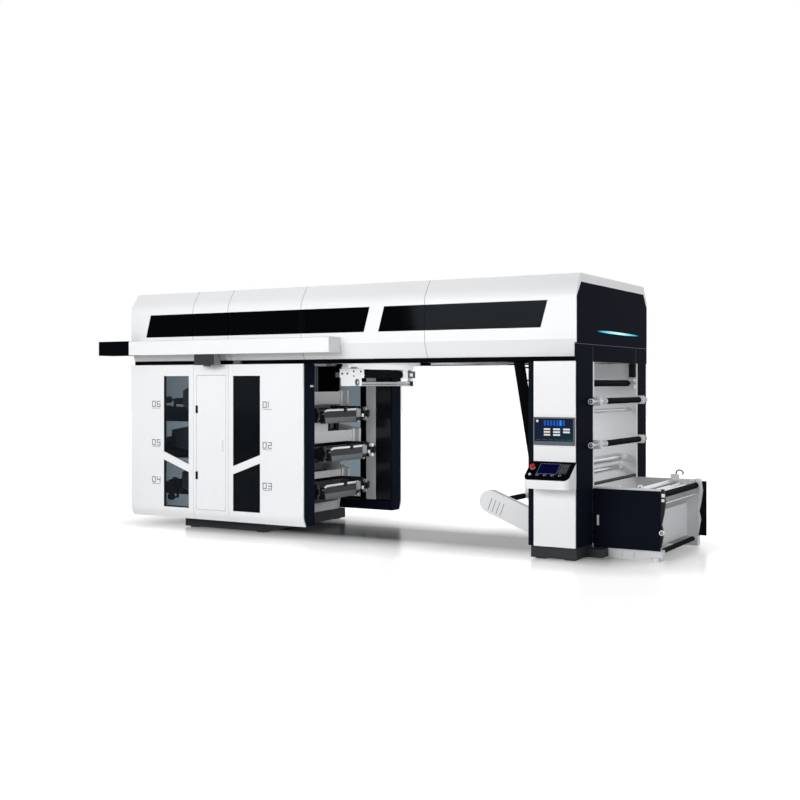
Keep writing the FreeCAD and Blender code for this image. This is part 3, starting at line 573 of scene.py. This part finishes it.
# %% Deck numbers
def number(name, words, x, z):
    """A square number, centred at x and z on the covers' front."""
    sizes = []
    for place, digit in enumerate(words):
        start = x - digit_wide / 2 + (place - 0.5) * digit_pitch
        for word in digits[digit].split():
            a, b, c, d = strokes[word]
            sizes.append((start + a, start + b, ink_front, ink_back,
                          z + c - digit_high / 2, z + d - digit_high / 2))
    blocks(name, bar_grey, "press", sizes)


line_half, line_low, line_high = 0.085, 0.071, 0.064
number_places = {"06": (-7.123, 1.98), "05": (-7.123, 1.366), "04": (-7.123, 0.773),
                 "01": (-4.925, 1.987), "02": (-4.925, 1.377), "03": (-4.925, 0.765)}
for words, (x, z) in number_places.items():
    number("deck_number_" + words, words, x, z)
    blocks("deck_line_" + words, bar_grey, "press",
           [(x - line_half, x + line_half, ink_front, ink_back, z - line_low, z - line_high)])

# %% [markdown]
# On the covers there are black hinges, a sunk door grip and a small latch on the inner end.
# The grip and the hinges ride with the door. Plain bars and blocks will do for them, since
# each is only some centimetres wide.

# %% Door and cover fittings
hinge_spans = ((0.814, 0.932), (1.846, 1.963))
hinge_x, hinge_y, hinge_radius = -6.2965, -0.0093, 0.0092
rounds("hinge_sleeves", black_abs, "cabinet_door",
       [("z", hinge_x, hinge_y, low, high - low, hinge_radius) for low, high in hinge_spans], 24)
blocks("hinge_leaves", black_abs, "cabinet_door",
       [(-6.2942, -6.2620, -0.0064, -0.0002, low - 0.0004, high + 0.0004)
        for low, high in hinge_spans], 0.001)
blocks("door_grip", grey_coat, "cabinet_door",
       [(-5.7868, -5.7572, 0.0040, 0.0082, 1.2502, 1.4298)])
blocks("inner_latch", stainless, "press",
       [(-4.276, -4.268, 0.185, 0.275, 2.255, 2.285)], 0.003)

# %% [markdown]
# A wide black post stands behind the glass of the hood's long window, at its seam. A black
# blind closes the printing unit's right window. Above it a bracket stands under the beam, and
# a white strip on the rear beam is a painted highlight where the beam catches the light. All
# are flat blocks, since only their faces are seen.

# %% Behind the windows
window_low, window_high = 3.043, 3.400
cover_window_low, cover_window_high = 0.352, 2.425
blocks("window_post", black_coat, "press",
       [(-4.362, -4.252, 0.0015, 0.0039, window_low, window_high)])
blocks("window_blind", black_abs, "press",
       [(-5.574, -5.061, 0.0225, 0.0290, cover_window_low, cover_window_high)])
blocks("beam_bracket", bezel, "press",
       [(-5.595, -5.460, 0.030, 0.0798, 2.605, 2.662)], 0.003)
# Painted highlight: a white strip where the rear beam catches the light.
blocks("rear_beam_painted_highlight", white_abs, "press",
       [(-3.60, -1.00, 2.7160, 2.7198, 2.616, 2.640)])

# %% [markdown]
# Rubber seals close the joints between the hood's sections. Each is a thin grey ribbon that
# follows the hood's section: chin, upright wall, rounded shoulder and slope. Its grey is partly
# the seal and partly painted shade of the gap between the sections. It stops below the window
# and starts again above it.

# %% The hood's section
chin_in, chin_low = 0.090, 2.663
crease, shoulder, hood_top = 2.887, 3.500, 3.750
corner_radius, top_in = 0.300, 0.165


def hood_section(offset, steps=8):
    """Points up the front of the hood, a little outside its wall."""
    lean = math.atan2(top_in, hood_top - shoulder)
    reach = corner_radius * math.tan(lean / 2)
    line = [(chin_in - offset, chin_low), (-offset, crease), (-offset, shoulder - reach)]
    for k in range(1, steps + 1):
        turn = lean * k / steps
        line.append((corner_radius - (corner_radius + offset) * math.cos(turn),
                     shoulder - reach + (corner_radius + offset) * math.sin(turn)))
    line.append((top_in - offset * math.cos(lean), hood_top + offset * math.sin(lean)))
    return line


print("the hood's section has %d points" % len(hood_section(0)))

# %% [markdown]
# Two rows of points along the section, joined by faces, make one ribbon. A bevelled curve could
# do it too, but this ribbon lies flat on the sheet.

# %% Hood seals and painted seam shade
# The grey stands for the seal and for painted shade in the seam.
seal_and_seam_shade = plain("grey seal and painted seam shade", "#85888b", 0.6, shine=0.2)
seal_width, seal_proud = 0.007, 0.0008


def ribbon(name, x, width, material):
    """One seal in two lengths, below and above the window, partly painted seam shade."""
    line = hood_section(seal_proud)
    wall = line[1][0]
    shape = bmesh.new()
    for part in (line[:2] + [(wall, window_low)], [(wall, window_high)] + line[2:]):
        sides = [[shape.verts.new((x + side * width / 2, y, z)) for y, z in part]
                 for side in (-1, 1)]
        for k in range(len(part) - 1):
            shape.faces.new((sides[0][k], sides[1][k], sides[1][k + 1], sides[0][k + 1]))
    hand_over(shape, name, material, "press")


for k, x in enumerate((-6.370, -5.675, -4.308, -2.228)):
    ribbon("hood_seal_%d" % (k + 1), x, seal_width, seal_and_seam_shade)

# %% [markdown]
# The ink decks stand open at the press's inner side. Each nose carries a pale rail with a
# clamp, an end block and a pair of turning knobs on its rear bracket. A steel drip tray covers
# its lower half, and a drip rod runs below. The same fittings stand on both sides of the drum,
# so one function builds a set and is called once for each deck.

# %% Deck fittings
drum_x = -6.0
front_bracket, rear_bracket = 0.79, 2.13


def deck_fittings(number, side, reach, z):
    tag = "deck_%d_" % number
    tip = drum_x + side * reach

    def span(a, b):
        """Two distances out from the tip, as x from and to."""
        return tuple(sorted((tip + side * a, tip + side * b)))

    bar = tip - side * 0.020
    bent_bar(tag + "rail", white_abs, "press",
             [(bar, 0.935, z + 0.020), (bar, 0.965, z + 0.062), (bar, 1.03, z + 0.088),
              (bar, 1.95, z + 0.090)], 0.019)
    blocks(tag + "clamp", black_abs, "press",
           [span(-0.075, 0.012) + (1.50, 1.58, z + 0.055, z + 0.135)], 0.006)
    blocks(tag + "end_block", grey_abs, "press",
           [span(-0.090, 0.012) + (1.86, 1.985, z - 0.035, z + 0.100)], 0.008)
    rounds(tag + "end_disc", white_abs, "press",
           [("x", span(0.0, 0.018)[0], 2.045, z - 0.01, 0.018, 0.030)], 20, 0.003)
    start = span(-0.020, 0.035)[0]
    rounds(tag + "knobs", white_abs if number in (2, 5) else grey_abs, "press",
           [("x", start, rear_bracket, z + rise, 0.055, 0.030) for rise in (0.095, -0.065)],
           20, 0.006)
    blocks(tag + "drip_tray", steel, "press",
           [span(-0.012, 0.006) + (0.955, 1.850, z - 0.118, z - 0.028)], 0.002)
    blocks(tag + "front_plate", grey_abs, "press",
           [span(-0.200, -0.075) + (0.905, 0.925, z - 0.060, z + 0.060)], 0.004)
    blocks(tag + "locks", black_abs, "press",
           [span(-0.020, 0.004) + (y - 0.024, y + 0.024, z - 0.030, z + 0.060)
            for y in (front_bracket, rear_bracket)], 0.004)
    rod_x, rod_z = tip - side * 0.060, z - 0.113
    rounds(tag + "drip_rod", steel, "press",
           [("y", rod_x, 0.935, rod_z, 1.05, 0.009)], 12)
    rounds(tag + "drip_cap", white_abs, "press",
           [("y", rod_x, 1.985, rod_z, 0.022, 0.017)], 16)
    rib_width = 0.012
    blocks(tag + "pan_ribs", steel, "press",
           [span(-back - rib_width, -back) + (0.95, 1.86, z + 0.066, z + 0.079)
            for back in (0.055, 0.095, 0.135, 0.175)], 0.002)


decks = ((1, 1.4803, 1.7983), (2, 1.600, 1.205), (3, 1.4803, 0.6117))
for number, reach, z in decks:
    deck_fittings(number, 1, reach, z)
    deck_fittings(number + 3, -1, reach, z)

# %% [markdown]
# Through the left window the outer decks show as black outlines: an upright plate on each
# front bracket carries round knobs on short stems. Their heights follow no rule, so a table
# gives them.

# %% Knobs in the left window
plate_near, plate_far = front_bracket - 0.015, front_bracket + 0.015
for number, x, plate_foot, heights in ((6, -7.56, 1.80, (2.035, 1.885)), (5, -7.53, 1.20, (1.365,)),
                                       (4, -7.50, 0.40, (0.645, 0.410))):
    high = max(heights)
    blocks("deck_%d_knob_plate" % number, black_abs, "press",
           [(x + 0.115, x + 0.150, plate_near, plate_far, plate_foot, high + 0.020),
            (x + 0.150, x + 0.330, plate_near, plate_far, high - 0.075, high + 0.030)], 0.004)
    rounds("deck_%d_knob_stems" % number, black_abs, "press",
           [("x", x, front_bracket, z, 0.120, 0.014) for z in heights], 16)
    rounds("deck_%d_outer_knobs" % number, black_abs, "press",
           [("x", x - 0.040, front_bracket, z, 0.075, 0.056) for z in heights], 28, 0.020)

# %% [markdown]
# Between the frames, each catch tray ends in a bright end plate at the rear. A pump box with a
# black clamp stands on the middle tray, and a dark cable duct runs up the rear frame. All are
# measured out from the drum's axis, so one list serves both sides.

# %% Parts between the frames
tray_ends = ((1.960, 2.170, 0.820), (1.345, 1.530, 1.060), (0.745, 0.860, 0.840))
rear_frame = 2.4298
shelf, post_top = 1.5302, 2.5998


def outward(side, a, b, z0, z1, y0, y1):
    """A box between two distances out from the drum's axis."""
    return tuple(sorted((drum_x + side * a, drum_x + side * b))) + (y0, y1, z0, z1)


for side, word in ((1, "inner"), (-1, "outer")):
    blocks("tray_ends_" + word, white_abs, "press",
           [outward(side, reach - 0.070, reach + 0.030, low - 0.030, high + 0.020, 2.385, rear_frame)
            for low, high, reach in tray_ends], 0.006)
    blocks("pump_box_" + word, grey_coat, "press",
           [outward(side, 0.900, 1.056, shelf, 1.688, 0.96, 1.68)], 0.010)
    blocks("pump_clamp_" + word, black_abs, "press",
           [outward(side, 0.960, 1.062, shelf, 1.692, 1.68, 1.725),
            outward(side, 0.960, 1.062, 1.665, 1.692, 1.72, 1.82),
            outward(side, 0.960, 1.062, shelf, 1.560, 1.72, 1.90),
            outward(side, 0.960, 1.062, shelf, 1.660, 1.90, 1.99)], 0.003)
    blocks("pump_socket_" + word, steel, "press",
           [outward(side, 0.970, 1.058, 1.575, 1.650, 1.75, 1.84)], 0.004)
    blocks("cable_duct_" + word, black_coat, "press",
           [outward(side, 0.385, 0.798, 2.160, post_top, 2.380, rear_frame)], 0.004)
    blocks("duct_post_" + word, grey_abs, "press",
           [outward(side, 0.338, 0.385, 2.150, post_top, 2.370, rear_frame)], 0.004)

# %% [markdown]
# Inside the rear cover a satin aluminium strip and a gloss black panel close the stretch
# beside the window. A thin box for each is enough, since only its face is seen.

# %% Rear cover lining
gloss_black = plain("gloss black acrylic", "#14171b", 0.12, shine=0.4)
satin_strip = plain("satin aluminium", "#d3d4d5", 0.4)
lining_back = 2.6099
strip_left, panel_left = -4.784, -4.595
blocks("lining_mullion", black_abs, "press",
       [(-4.812, strip_left, 2.602, lining_back, cover_window_low, cover_window_high)])
blocks("lining_strip", satin_strip, "press",
       [(strip_left, panel_left, 2.604, lining_back, cover_window_low, cover_window_high)])
blocks("lining_panel", gloss_black, "press",
       [(panel_left, -4.306, 2.604, lining_back, cover_window_low, cover_window_high)])

# %% [markdown]
# The web leaves the printing unit over a small guide frame below the hood. Its bearing block
# is bolted, a flange bearing sits low on it, two ground rods run to the rear, and a black
# clamp ends them. All are made of blocks and round bars.

# %% Web guide fittings
rounds("guide_bolts", dark_abs, "press",
       [("y", -3.905, 0.494, 2.455, 0.0062, 0.016), ("y", -3.815, 0.494, 2.455, 0.0062, 0.016),
        ("x", -3.7702, 0.60, 2.490, 0.008, 0.017), ("x", -3.7702, 0.80, 2.490, 0.008, 0.017),
        ("x", -3.7702, 0.60, 2.420, 0.008, 0.012)], 16)
blocks("guide_steps", white_abs, "press",
       [(-3.955, -3.765, 0.495, 0.905, 2.428, 2.440), (-3.960, -3.800, 0.56, 0.76, 2.525, 2.563)],
       0.004)
rounds("guide_flange", black_abs, "press",
       [("x", -3.8002, 0.745, 2.325, 0.014, 0.050)], 28, 0.003)
blocks("guide_cross", white_abs, "press",
       [(-3.7864, -3.784, 0.712, 0.778, 2.316, 2.334), (-3.7864, -3.784, 0.735, 0.755, 2.292, 2.358)],
       0.001)
rounds("guide_rod_sleeve", chrome, "press",
       [("y", -3.85, 0.882, 2.315, 1.556, 0.0246)], 28)
rounds("guide_rod_low", chrome, "press",
       [("y", -3.835, 0.870, 2.278, 1.575, 0.013)], 20)
blocks("guide_end_clamp", dark_abs, "press",
       [(-3.885, -3.812, 2.335, 2.57, 2.475, 2.505), (-3.885, -3.812, 2.335, 2.57, 2.395, 2.420),
        (-3.885, -3.812, 2.335, 2.375, 2.418, 2.478), (-3.885, -3.812, 2.525, 2.57, 2.418, 2.478)],
       0.004)
blocks("guide_end_insert", white_abs, "press",
       [(-3.880, -3.816, 2.40, 2.50, 2.421, 2.474)], 0.004)
blocks("guide_end_cap", black_abs, "press",
       [(-3.884, -3.815, 2.436, 2.505, 2.262, 2.345)], 0.004)
blocks("guide_cube", dark_abs, "press", [(-4.03, -3.9502, 0.50, 0.58, 2.400, 2.475)],
       0.006)

# %% [markdown]
# Each tower roller turns on a plated shaft with a ringed knob outside the column and pale hubs
# inside. All of them ride with their roller. A loop makes both sets, since the rollers differ
# only in height.

# %% Tower roller ends
x = 0.062
for body, z in (("tower_roller_upper", 2.070), ("tower_roller_lower", 1.495)):
    rounds(body + "_shaft", bright_steel, body,
           [("y", x, 0.400, z, 0.208, 0.0186), ("y", x, 0.657, z, 0.248, 0.0186),
            ("y", x, 2.340, z, 0.084, 0.0186), ("y", x, 2.472, z, 0.118, 0.0186)], 24)
    rounds(body + "_knobs", white_abs, body,
           [("y", x, 0.3595, z, 0.0410, 0.0388), ("y", x, 2.5895, z, 0.0410, 0.0388)], 28, 0.003)
    rounds(body + "_knob_ring", black_abs, body,
           [("y", x, 0.3585, z, 0.0012, 0.027)], 28)
    rounds(body + "_knob_dot", white_abs, body,
           [("y", x, 0.3575, z, 0.0012, 0.011)], 20)
    rounds(body + "_hubs", white_abs, body,
           [("y", x, 0.700, z, 0.075, 0.033), ("y", x, 0.872, z, 0.034, 0.0445),
            ("y", x, 2.338, z, 0.030, 0.0445), ("y", x, 2.390, z, 0.030, 0.033)], 28, 0.003)
blocks("nip_clamp", white_abs, "press",
       [(-0.165, -0.010, 2.335, 2.424, 2.336, 2.378), (-0.165, -0.010, 2.335, 2.424, 2.228, 2.288)],
       0.005)
blocks("nip_cylinder", black_abs, "press",
       [(-0.102, -0.006, 2.375, 2.4248, 2.400, 2.596)], 0.004)
rounds("nip_ends", white_abs, "tower_nip_roller",
       [("y", -0.110, 0.690, 2.312, 0.030, 0.040), ("y", -0.110, 2.322, 2.312, 0.010, 0.040)], 24, 0.002)
rounds("web_bar", black_abs, "press",
       [("y", -0.030, 0.6552, 0.960, 1.7696, 0.023)], 20)
rounds("inner_hubs", white_abs, "press",
       [("y", -0.200, 2.20, 1.235, 0.2248, 0.066), ("y", -0.260, 2.30, 1.080, 0.1248, 0.052)],
       28, 0.004)

# %% [markdown]
# The header above the web opening is three sheets with pale edges, and a black strip closes the
# joint between the column and the winding unit. Grooves could be cut instead, but a thin strip
# shows the same line.

# %% Joints of the tower
blocks("header_joints", bezel, "press",
       [(-0.003, 0.0004, 0.6055, 0.6105, 2.600, 2.828), (-0.003, 0.0004, 2.3895, 2.3945, 2.600, 2.828),
        (-0.003, 0.0004, 0.022, 2.898, 2.8255, 2.8300)])
blocks("column_joint", black_abs, "press",
       [(0.0002, 0.0045, 0.6105, 0.6545, 0.1805, 0.905)])

# %% [markdown]
# The low winding unit has bearing housings at its corners, hubs that stand above its cover, a
# hook at the rear, and a profile along the wavy edge of both plates. The plates share one
# paint, but the front profile is black as painted shade, since that plate stands in shade,
# and the rear one white as painted light, since that plate is lit. The profiles are cut from
# one outline, and the hook is a bent bar.

# %% Winding unit fittings
edge_profile = [(0.9165, 0.936), (0.9165, 0.170), (0.951, 0.364), (0.926, 0.480),
                (0.956, 0.623), (0.976, 0.777), (0.956, 0.936)]
profile_width = 0.0375
# Painted shade: the front plate's wavy edge drawn black.
slab("front_wave_edge_painted_shade", black_abs, "press", edge_profile, "y", 0.6335, profile_width, 0.001)
# Painted light: the rear plate's wavy edge drawn white.
slab("rear_wave_edge_painted_light", white_abs, "press", edge_profile, "y", 2.4090,
     profile_width, 0.001)
blocks("winder_bearings", white_abs, "press",
       [(0.930, 0.972, 0.6130, 0.6334, 0.835, 0.880), (0.930, 0.968, 0.6130, 0.6334, 0.775, 0.812),
        (0.525, 0.645, 2.375, 2.4098, 0.905, 1.000), (0.890, 0.960, 2.375, 2.4098, 0.900, 0.950),
        (0.800, 0.880, 2.375, 2.4098, 0.905, 0.940)], 0.006)
knob_x, knob_z, ring_thick = 0.936, 0.374, 0.0012
rounds("winder_knob", white_abs, "press",
       [("y", knob_x, 0.600, knob_z, 0.0334, 0.034)], 28, 0.004)
rounds("winder_knob_ring", black_abs, "press",
       [("y", knob_x, 0.599, knob_z, ring_thick, 0.020)], 24)
rounds("winder_knob_dot", white_abs, "press",
       [("y", knob_x, 0.598, knob_z, ring_thick, 0.008)], 16)
rounds("winder_hubs", white_abs, "press",
       [("y", 0.625, 0.672, 0.945, 0.050, 0.032), ("y", 0.347, 0.672, 0.945, 0.035, 0.018)],
       24, 0.004)
rounds("winder_hub_caps", steel, "press",
       [("y", 0.625, 0.6715, 0.945, 0.0012, 0.015)], 20)
bent_bar("winder_hook", black_abs, "press",
         [(0.600, 2.392, 0.995), (0.606, 2.392, 1.040), (0.640, 2.392, 1.062), (0.680, 2.392, 1.055),
          (0.708, 2.392, 1.025), (0.690, 2.392, 1.000)], 0.010)
rounds("winder_cross_bar", bright_steel, "press",
       [("y", 0.940, 0.671, 0.748, 1.738, 0.009)], 16)
rounds("winder_feet", white_abs, "press",
       [("z", 0.862, 0.591, 0.0, 0.050, 0.045), ("z", 0.790, 0.598, 0.0, 0.035, 0.034)], 28, 0.004)
blocks("winder_pull", white_abs, "winder_door",
       [(0.0594, 0.0856, 0.5974, 0.6098, 0.4254, 0.5596)], 0.003)

# %% [markdown]
# The rung between the swing arms has a rubber sleeve near each arm. The slots across the tip of
# each arm are filled with a dark slab, painted shade in the slots. The arm's own line runs from
# its pivot to its tip, and the slots are counted back from the tip. Each shade slab is thin and
# laid out along that line.

# %% Swing arm fittings
rung_x, rung_z = -1.310, 0.685
rounds("arm_rung_sleeve", rubber, "swing_arm",
       [("y", rung_x, start, rung_z, 0.50, 0.0392) for start in (0.802, 1.778)], 28)
arm_pivot, arm_tip = Vector((-0.420, 0.205)), Vector((-1.560, 0.645))
along_arm = (arm_tip - arm_pivot).normalized()
across_arm = Vector((-along_arm.y, along_arm.x))
slot_width, slot_play, slot_shade_depth = 0.009, 0.0002, 0.0074
slot_above, slot_below = -0.060, 0.120
for k, back in enumerate((0.012, 0.079, 0.145, 0.212), 1):
    near_line = arm_tip - along_arm * (back + slot_play)
    far_line = arm_tip - along_arm * (back + slot_width - slot_play)
    ends = [line + across_arm * reach for line, reach in
            ((near_line, slot_above), (near_line, slot_below),
             (far_line, slot_below), (far_line, slot_above))]
    for word, start in (("front", 0.6906), ("rear", 2.3820)):
        # Painted shade filling the slot.
        slab("arm_slot_%s_%d" % (word, k), dark_abs, "swing_arm",
             [tuple(end) for end in ends], "y", start, slot_shade_depth)

# %% [markdown]
# Under the rail cover the lifting trolley has a paler plate on its right end, painted light that
# makes that face look lit, and a swivel plate below. Both ride with the trolley, so they travel
# along the rail.

# %% Trolley fittings
# Painted light: a paler plate on the trolley's right face.
blocks("trolley_end_painted_light", grey_abs, "hoist_trolley",
       [(-5.7339, -5.730, -0.259, -0.111, 2.591, 2.783)], 0.002)
rounds("trolley_swivel", bezel, "hoist_trolley",
       [("z", -5.930, -0.185, 2.566, 0.0238, 0.055)], 32, 0.004)

# %% [markdown]
# The camera stands where the photographer's did: level, turned 30 degrees from the press's
# front, 2.3 metres up and some 17.5 metres from its middle. It could be placed by eye, but these
# values were worked out from the upright and level edges in the photograph. A small shift
# lowers the frame and keeps upright edges upright.

# %% The camera
camera_data = bpy.data.cameras.new("camera")
camera_data.sensor_width = 36.0
camera_data.lens = 51.17
camera_data.shift_y = -0.02125
camera = bpy.data.objects.new("camera", camera_data)
bpy.context.collection.objects.link(camera)
camera.location = (8.8852, -15.123, 2.315)
camera.rotation_euler = (math.radians(90), 0, math.radians(30))
bpy.context.scene.camera = camera
print("the camera stands %.1f m from the middle" % camera.location.length)

# %% [markdown]
# The studio is a pale floor under a white sky. The sky shows as pure white to the eye, in
# reflections and through glass, but lights the press less, and less still from overhead, so
# white paint keeps its shading. A white card could stand behind the press instead, but Light
# Path's kinds of ray do it from every side.

# %% The sky
bpy.context.scene.view_settings.view_transform = "Standard"
world = bpy.data.worlds.new("studio")
bpy.context.scene.world = world
world.use_nodes = True
tree = world.node_tree
tree.nodes.clear()
horizon_light = 0.98
zenith_light = 0.13
path = add_node(tree, "ShaderNodeLightPath")
straight = add_node(tree, "ShaderNodeMath", {0: path.outputs["Is Camera Ray"],
                                             1: path.outputs["Is Transmission Ray"]},
                    operation="MAXIMUM")
seen = add_node(tree, "ShaderNodeMath", {0: straight.outputs[0],
                                         1: path.outputs["Is Glossy Ray"]}, operation="MAXIMUM")
place = add_node(tree, "ShaderNodeTexCoord")
height = add_node(tree, "ShaderNodeSeparateXYZ", {0: place.outputs["Generated"]})
fall = add_node(tree, "ShaderNodeMapRange", {"Value": height.outputs["Z"]})
fall.inputs["From Max"].default_value = 0.7
fall.inputs["To Min"].default_value = horizon_light
fall.inputs["To Max"].default_value = zenith_light
level = add_node(tree, "ShaderNodeMapRange", {"Value": seen.outputs[0],
                                              "To Min": fall.outputs["Result"]})
sky = add_node(tree, "ShaderNodeBackground", {"Strength": level.outputs["Result"]},
               Color=(1, 1, 1, 1))
add_node(tree, "ShaderNodeOutputWorld", {0: sky.outputs[0]})
print("the sky lights with %.2f at the horizon and %.2f overhead" % (horizon_light, zenith_light))

# %% [markdown]
# The floor is painted dark under the press and pale around it: a painted contact shadow, as in
# a photo studio. The distance from the press is worked out in its shader, where a painted image
# would need a file. Further out it adds light of its own for the camera, which lifts it to
# white while shadows stay; near the press that light fades to nothing, which deepens the
# painted shadow.

# %% The floor
floor_mesh = bpy.data.meshes.new("floor")
floor_half = 60.0
floor_mesh.from_pydata([(-floor_half, -floor_half, 0), (floor_half, -floor_half, 0),
                        (floor_half, floor_half, 0), (-floor_half, floor_half, 0)],
                       [], [(0, 1, 2, 3)])
floor = bpy.data.objects.new("floor", floor_mesh)
bpy.context.collection.objects.link(floor)
floor_paint, tree, output = new_material("pale floor with painted shadow")
path = add_node(tree, "ShaderNodeLightPath")
body = add_node(tree, "ShaderNodeBsdfPrincipled", Roughness=0.22, IOR=1.35)
place = add_node(tree, "ShaderNodeTexCoord")
out_from = add_node(tree, "ShaderNodeVectorMath", {0: place.outputs["Object"]},
                    operation="ABSOLUTE")
half_size = add_node(tree, "ShaderNodeVectorMath", {0: out_from.outputs[0]}, operation="SUBTRACT")
# The painted shadow lies over a box of these half sizes and fades around it.
shadow_half_length, shadow_half_width = 3.7, 0.5
half_size.inputs[1].default_value = (shadow_half_length, shadow_half_width, 0)
outside = add_node(tree, "ShaderNodeVectorMath", {0: half_size.outputs[0]}, operation="MAXIMUM")
outside.inputs[1].default_value = (0, 0, 0)
away = add_node(tree, "ShaderNodeVectorMath", {0: outside.outputs[0]}, operation="LENGTH")
# Near the press the glow is nothing, so it adds to the painted shadow there.
near_far = add_node(tree, "ShaderNodeMapRange", {"Value": away.outputs["Value"]})
full_glow_at, far_glow = 1.8, 0.65
near_far.inputs["From Max"].default_value = full_glow_at
near_far.inputs["To Max"].default_value = far_glow
lift = add_node(tree, "ShaderNodeMath", {0: path.outputs["Is Camera Ray"],
                                         1: near_far.outputs[0]}, operation="MULTIPLY")
glow = add_node(tree, "ShaderNodeEmission", {"Strength": lift.outputs[0]}, Color=(1, 1, 1, 1))
both = add_node(tree, "ShaderNodeAddShader", {0: body.outputs[0], 1: glow.outputs[0]})
tree.links.new(both.outputs[0], output.inputs[0])
# Painted shadow: the floor's colour runs from dark grey at the press to pale at pale_from.
shadow_fade = add_node(tree, "ShaderNodeMapRange", {"Value": away.outputs["Value"]})
pale_from = 1.0
shadow_fade.inputs["From Max"].default_value = pale_from
shade = add_node(tree, "ShaderNodeMix", {"Factor": shadow_fade.outputs[0]}, data_type="RGBA")
shade.inputs[6].default_value = linear("#3a3b3d")
shade.inputs[7].default_value = linear("#f0f0f1")
tree.links.new(shade.outputs[2], body.inputs["Base Color"])
floor_mesh.materials.append(floor_paint)
print("the floor is pale from %.1f m on" % pale_from)

# %% [markdown]
# A wide key lamp stands in front and above, so upright walls are the brightest, and the slopes
# above and below them fall off. A side lamp lights the tower's end. A small lamp in the web's
# passage lifts the rollers and the inner side of the printing unit. One function makes all
# three, since they differ only in place, aim, size and power.

# %% The lamps
def studio_lamp(name, place, aim, size, power):
    lamp = bpy.data.lights.new(name, "AREA")
    lamp.shape = "RECTANGLE"
    lamp.size, lamp.size_y = size
    lamp.energy = power
    holder = bpy.data.objects.new(name, lamp)
    bpy.context.collection.objects.link(holder)
    holder.location = place
    holder.rotation_euler = (Vector(aim) - Vector(place)).to_track_quat("-Z", "Y").to_euler()
    holder.visible_camera = False
    print("%s: %d W" % (name, power))


studio_lamp("key lamp", (-1.5, -15, 5.6), (0, 0, 1.6), (10, 4), 1140)
studio_lamp("side lamp", (13, 0, 4), (2, 0, 1.5), (5, 5), 170)
studio_lamp("passage lamp", (1.4, 0.2, 1.5), (-2.4, 0.2, 1.3), (1.6, 1.8), 32)
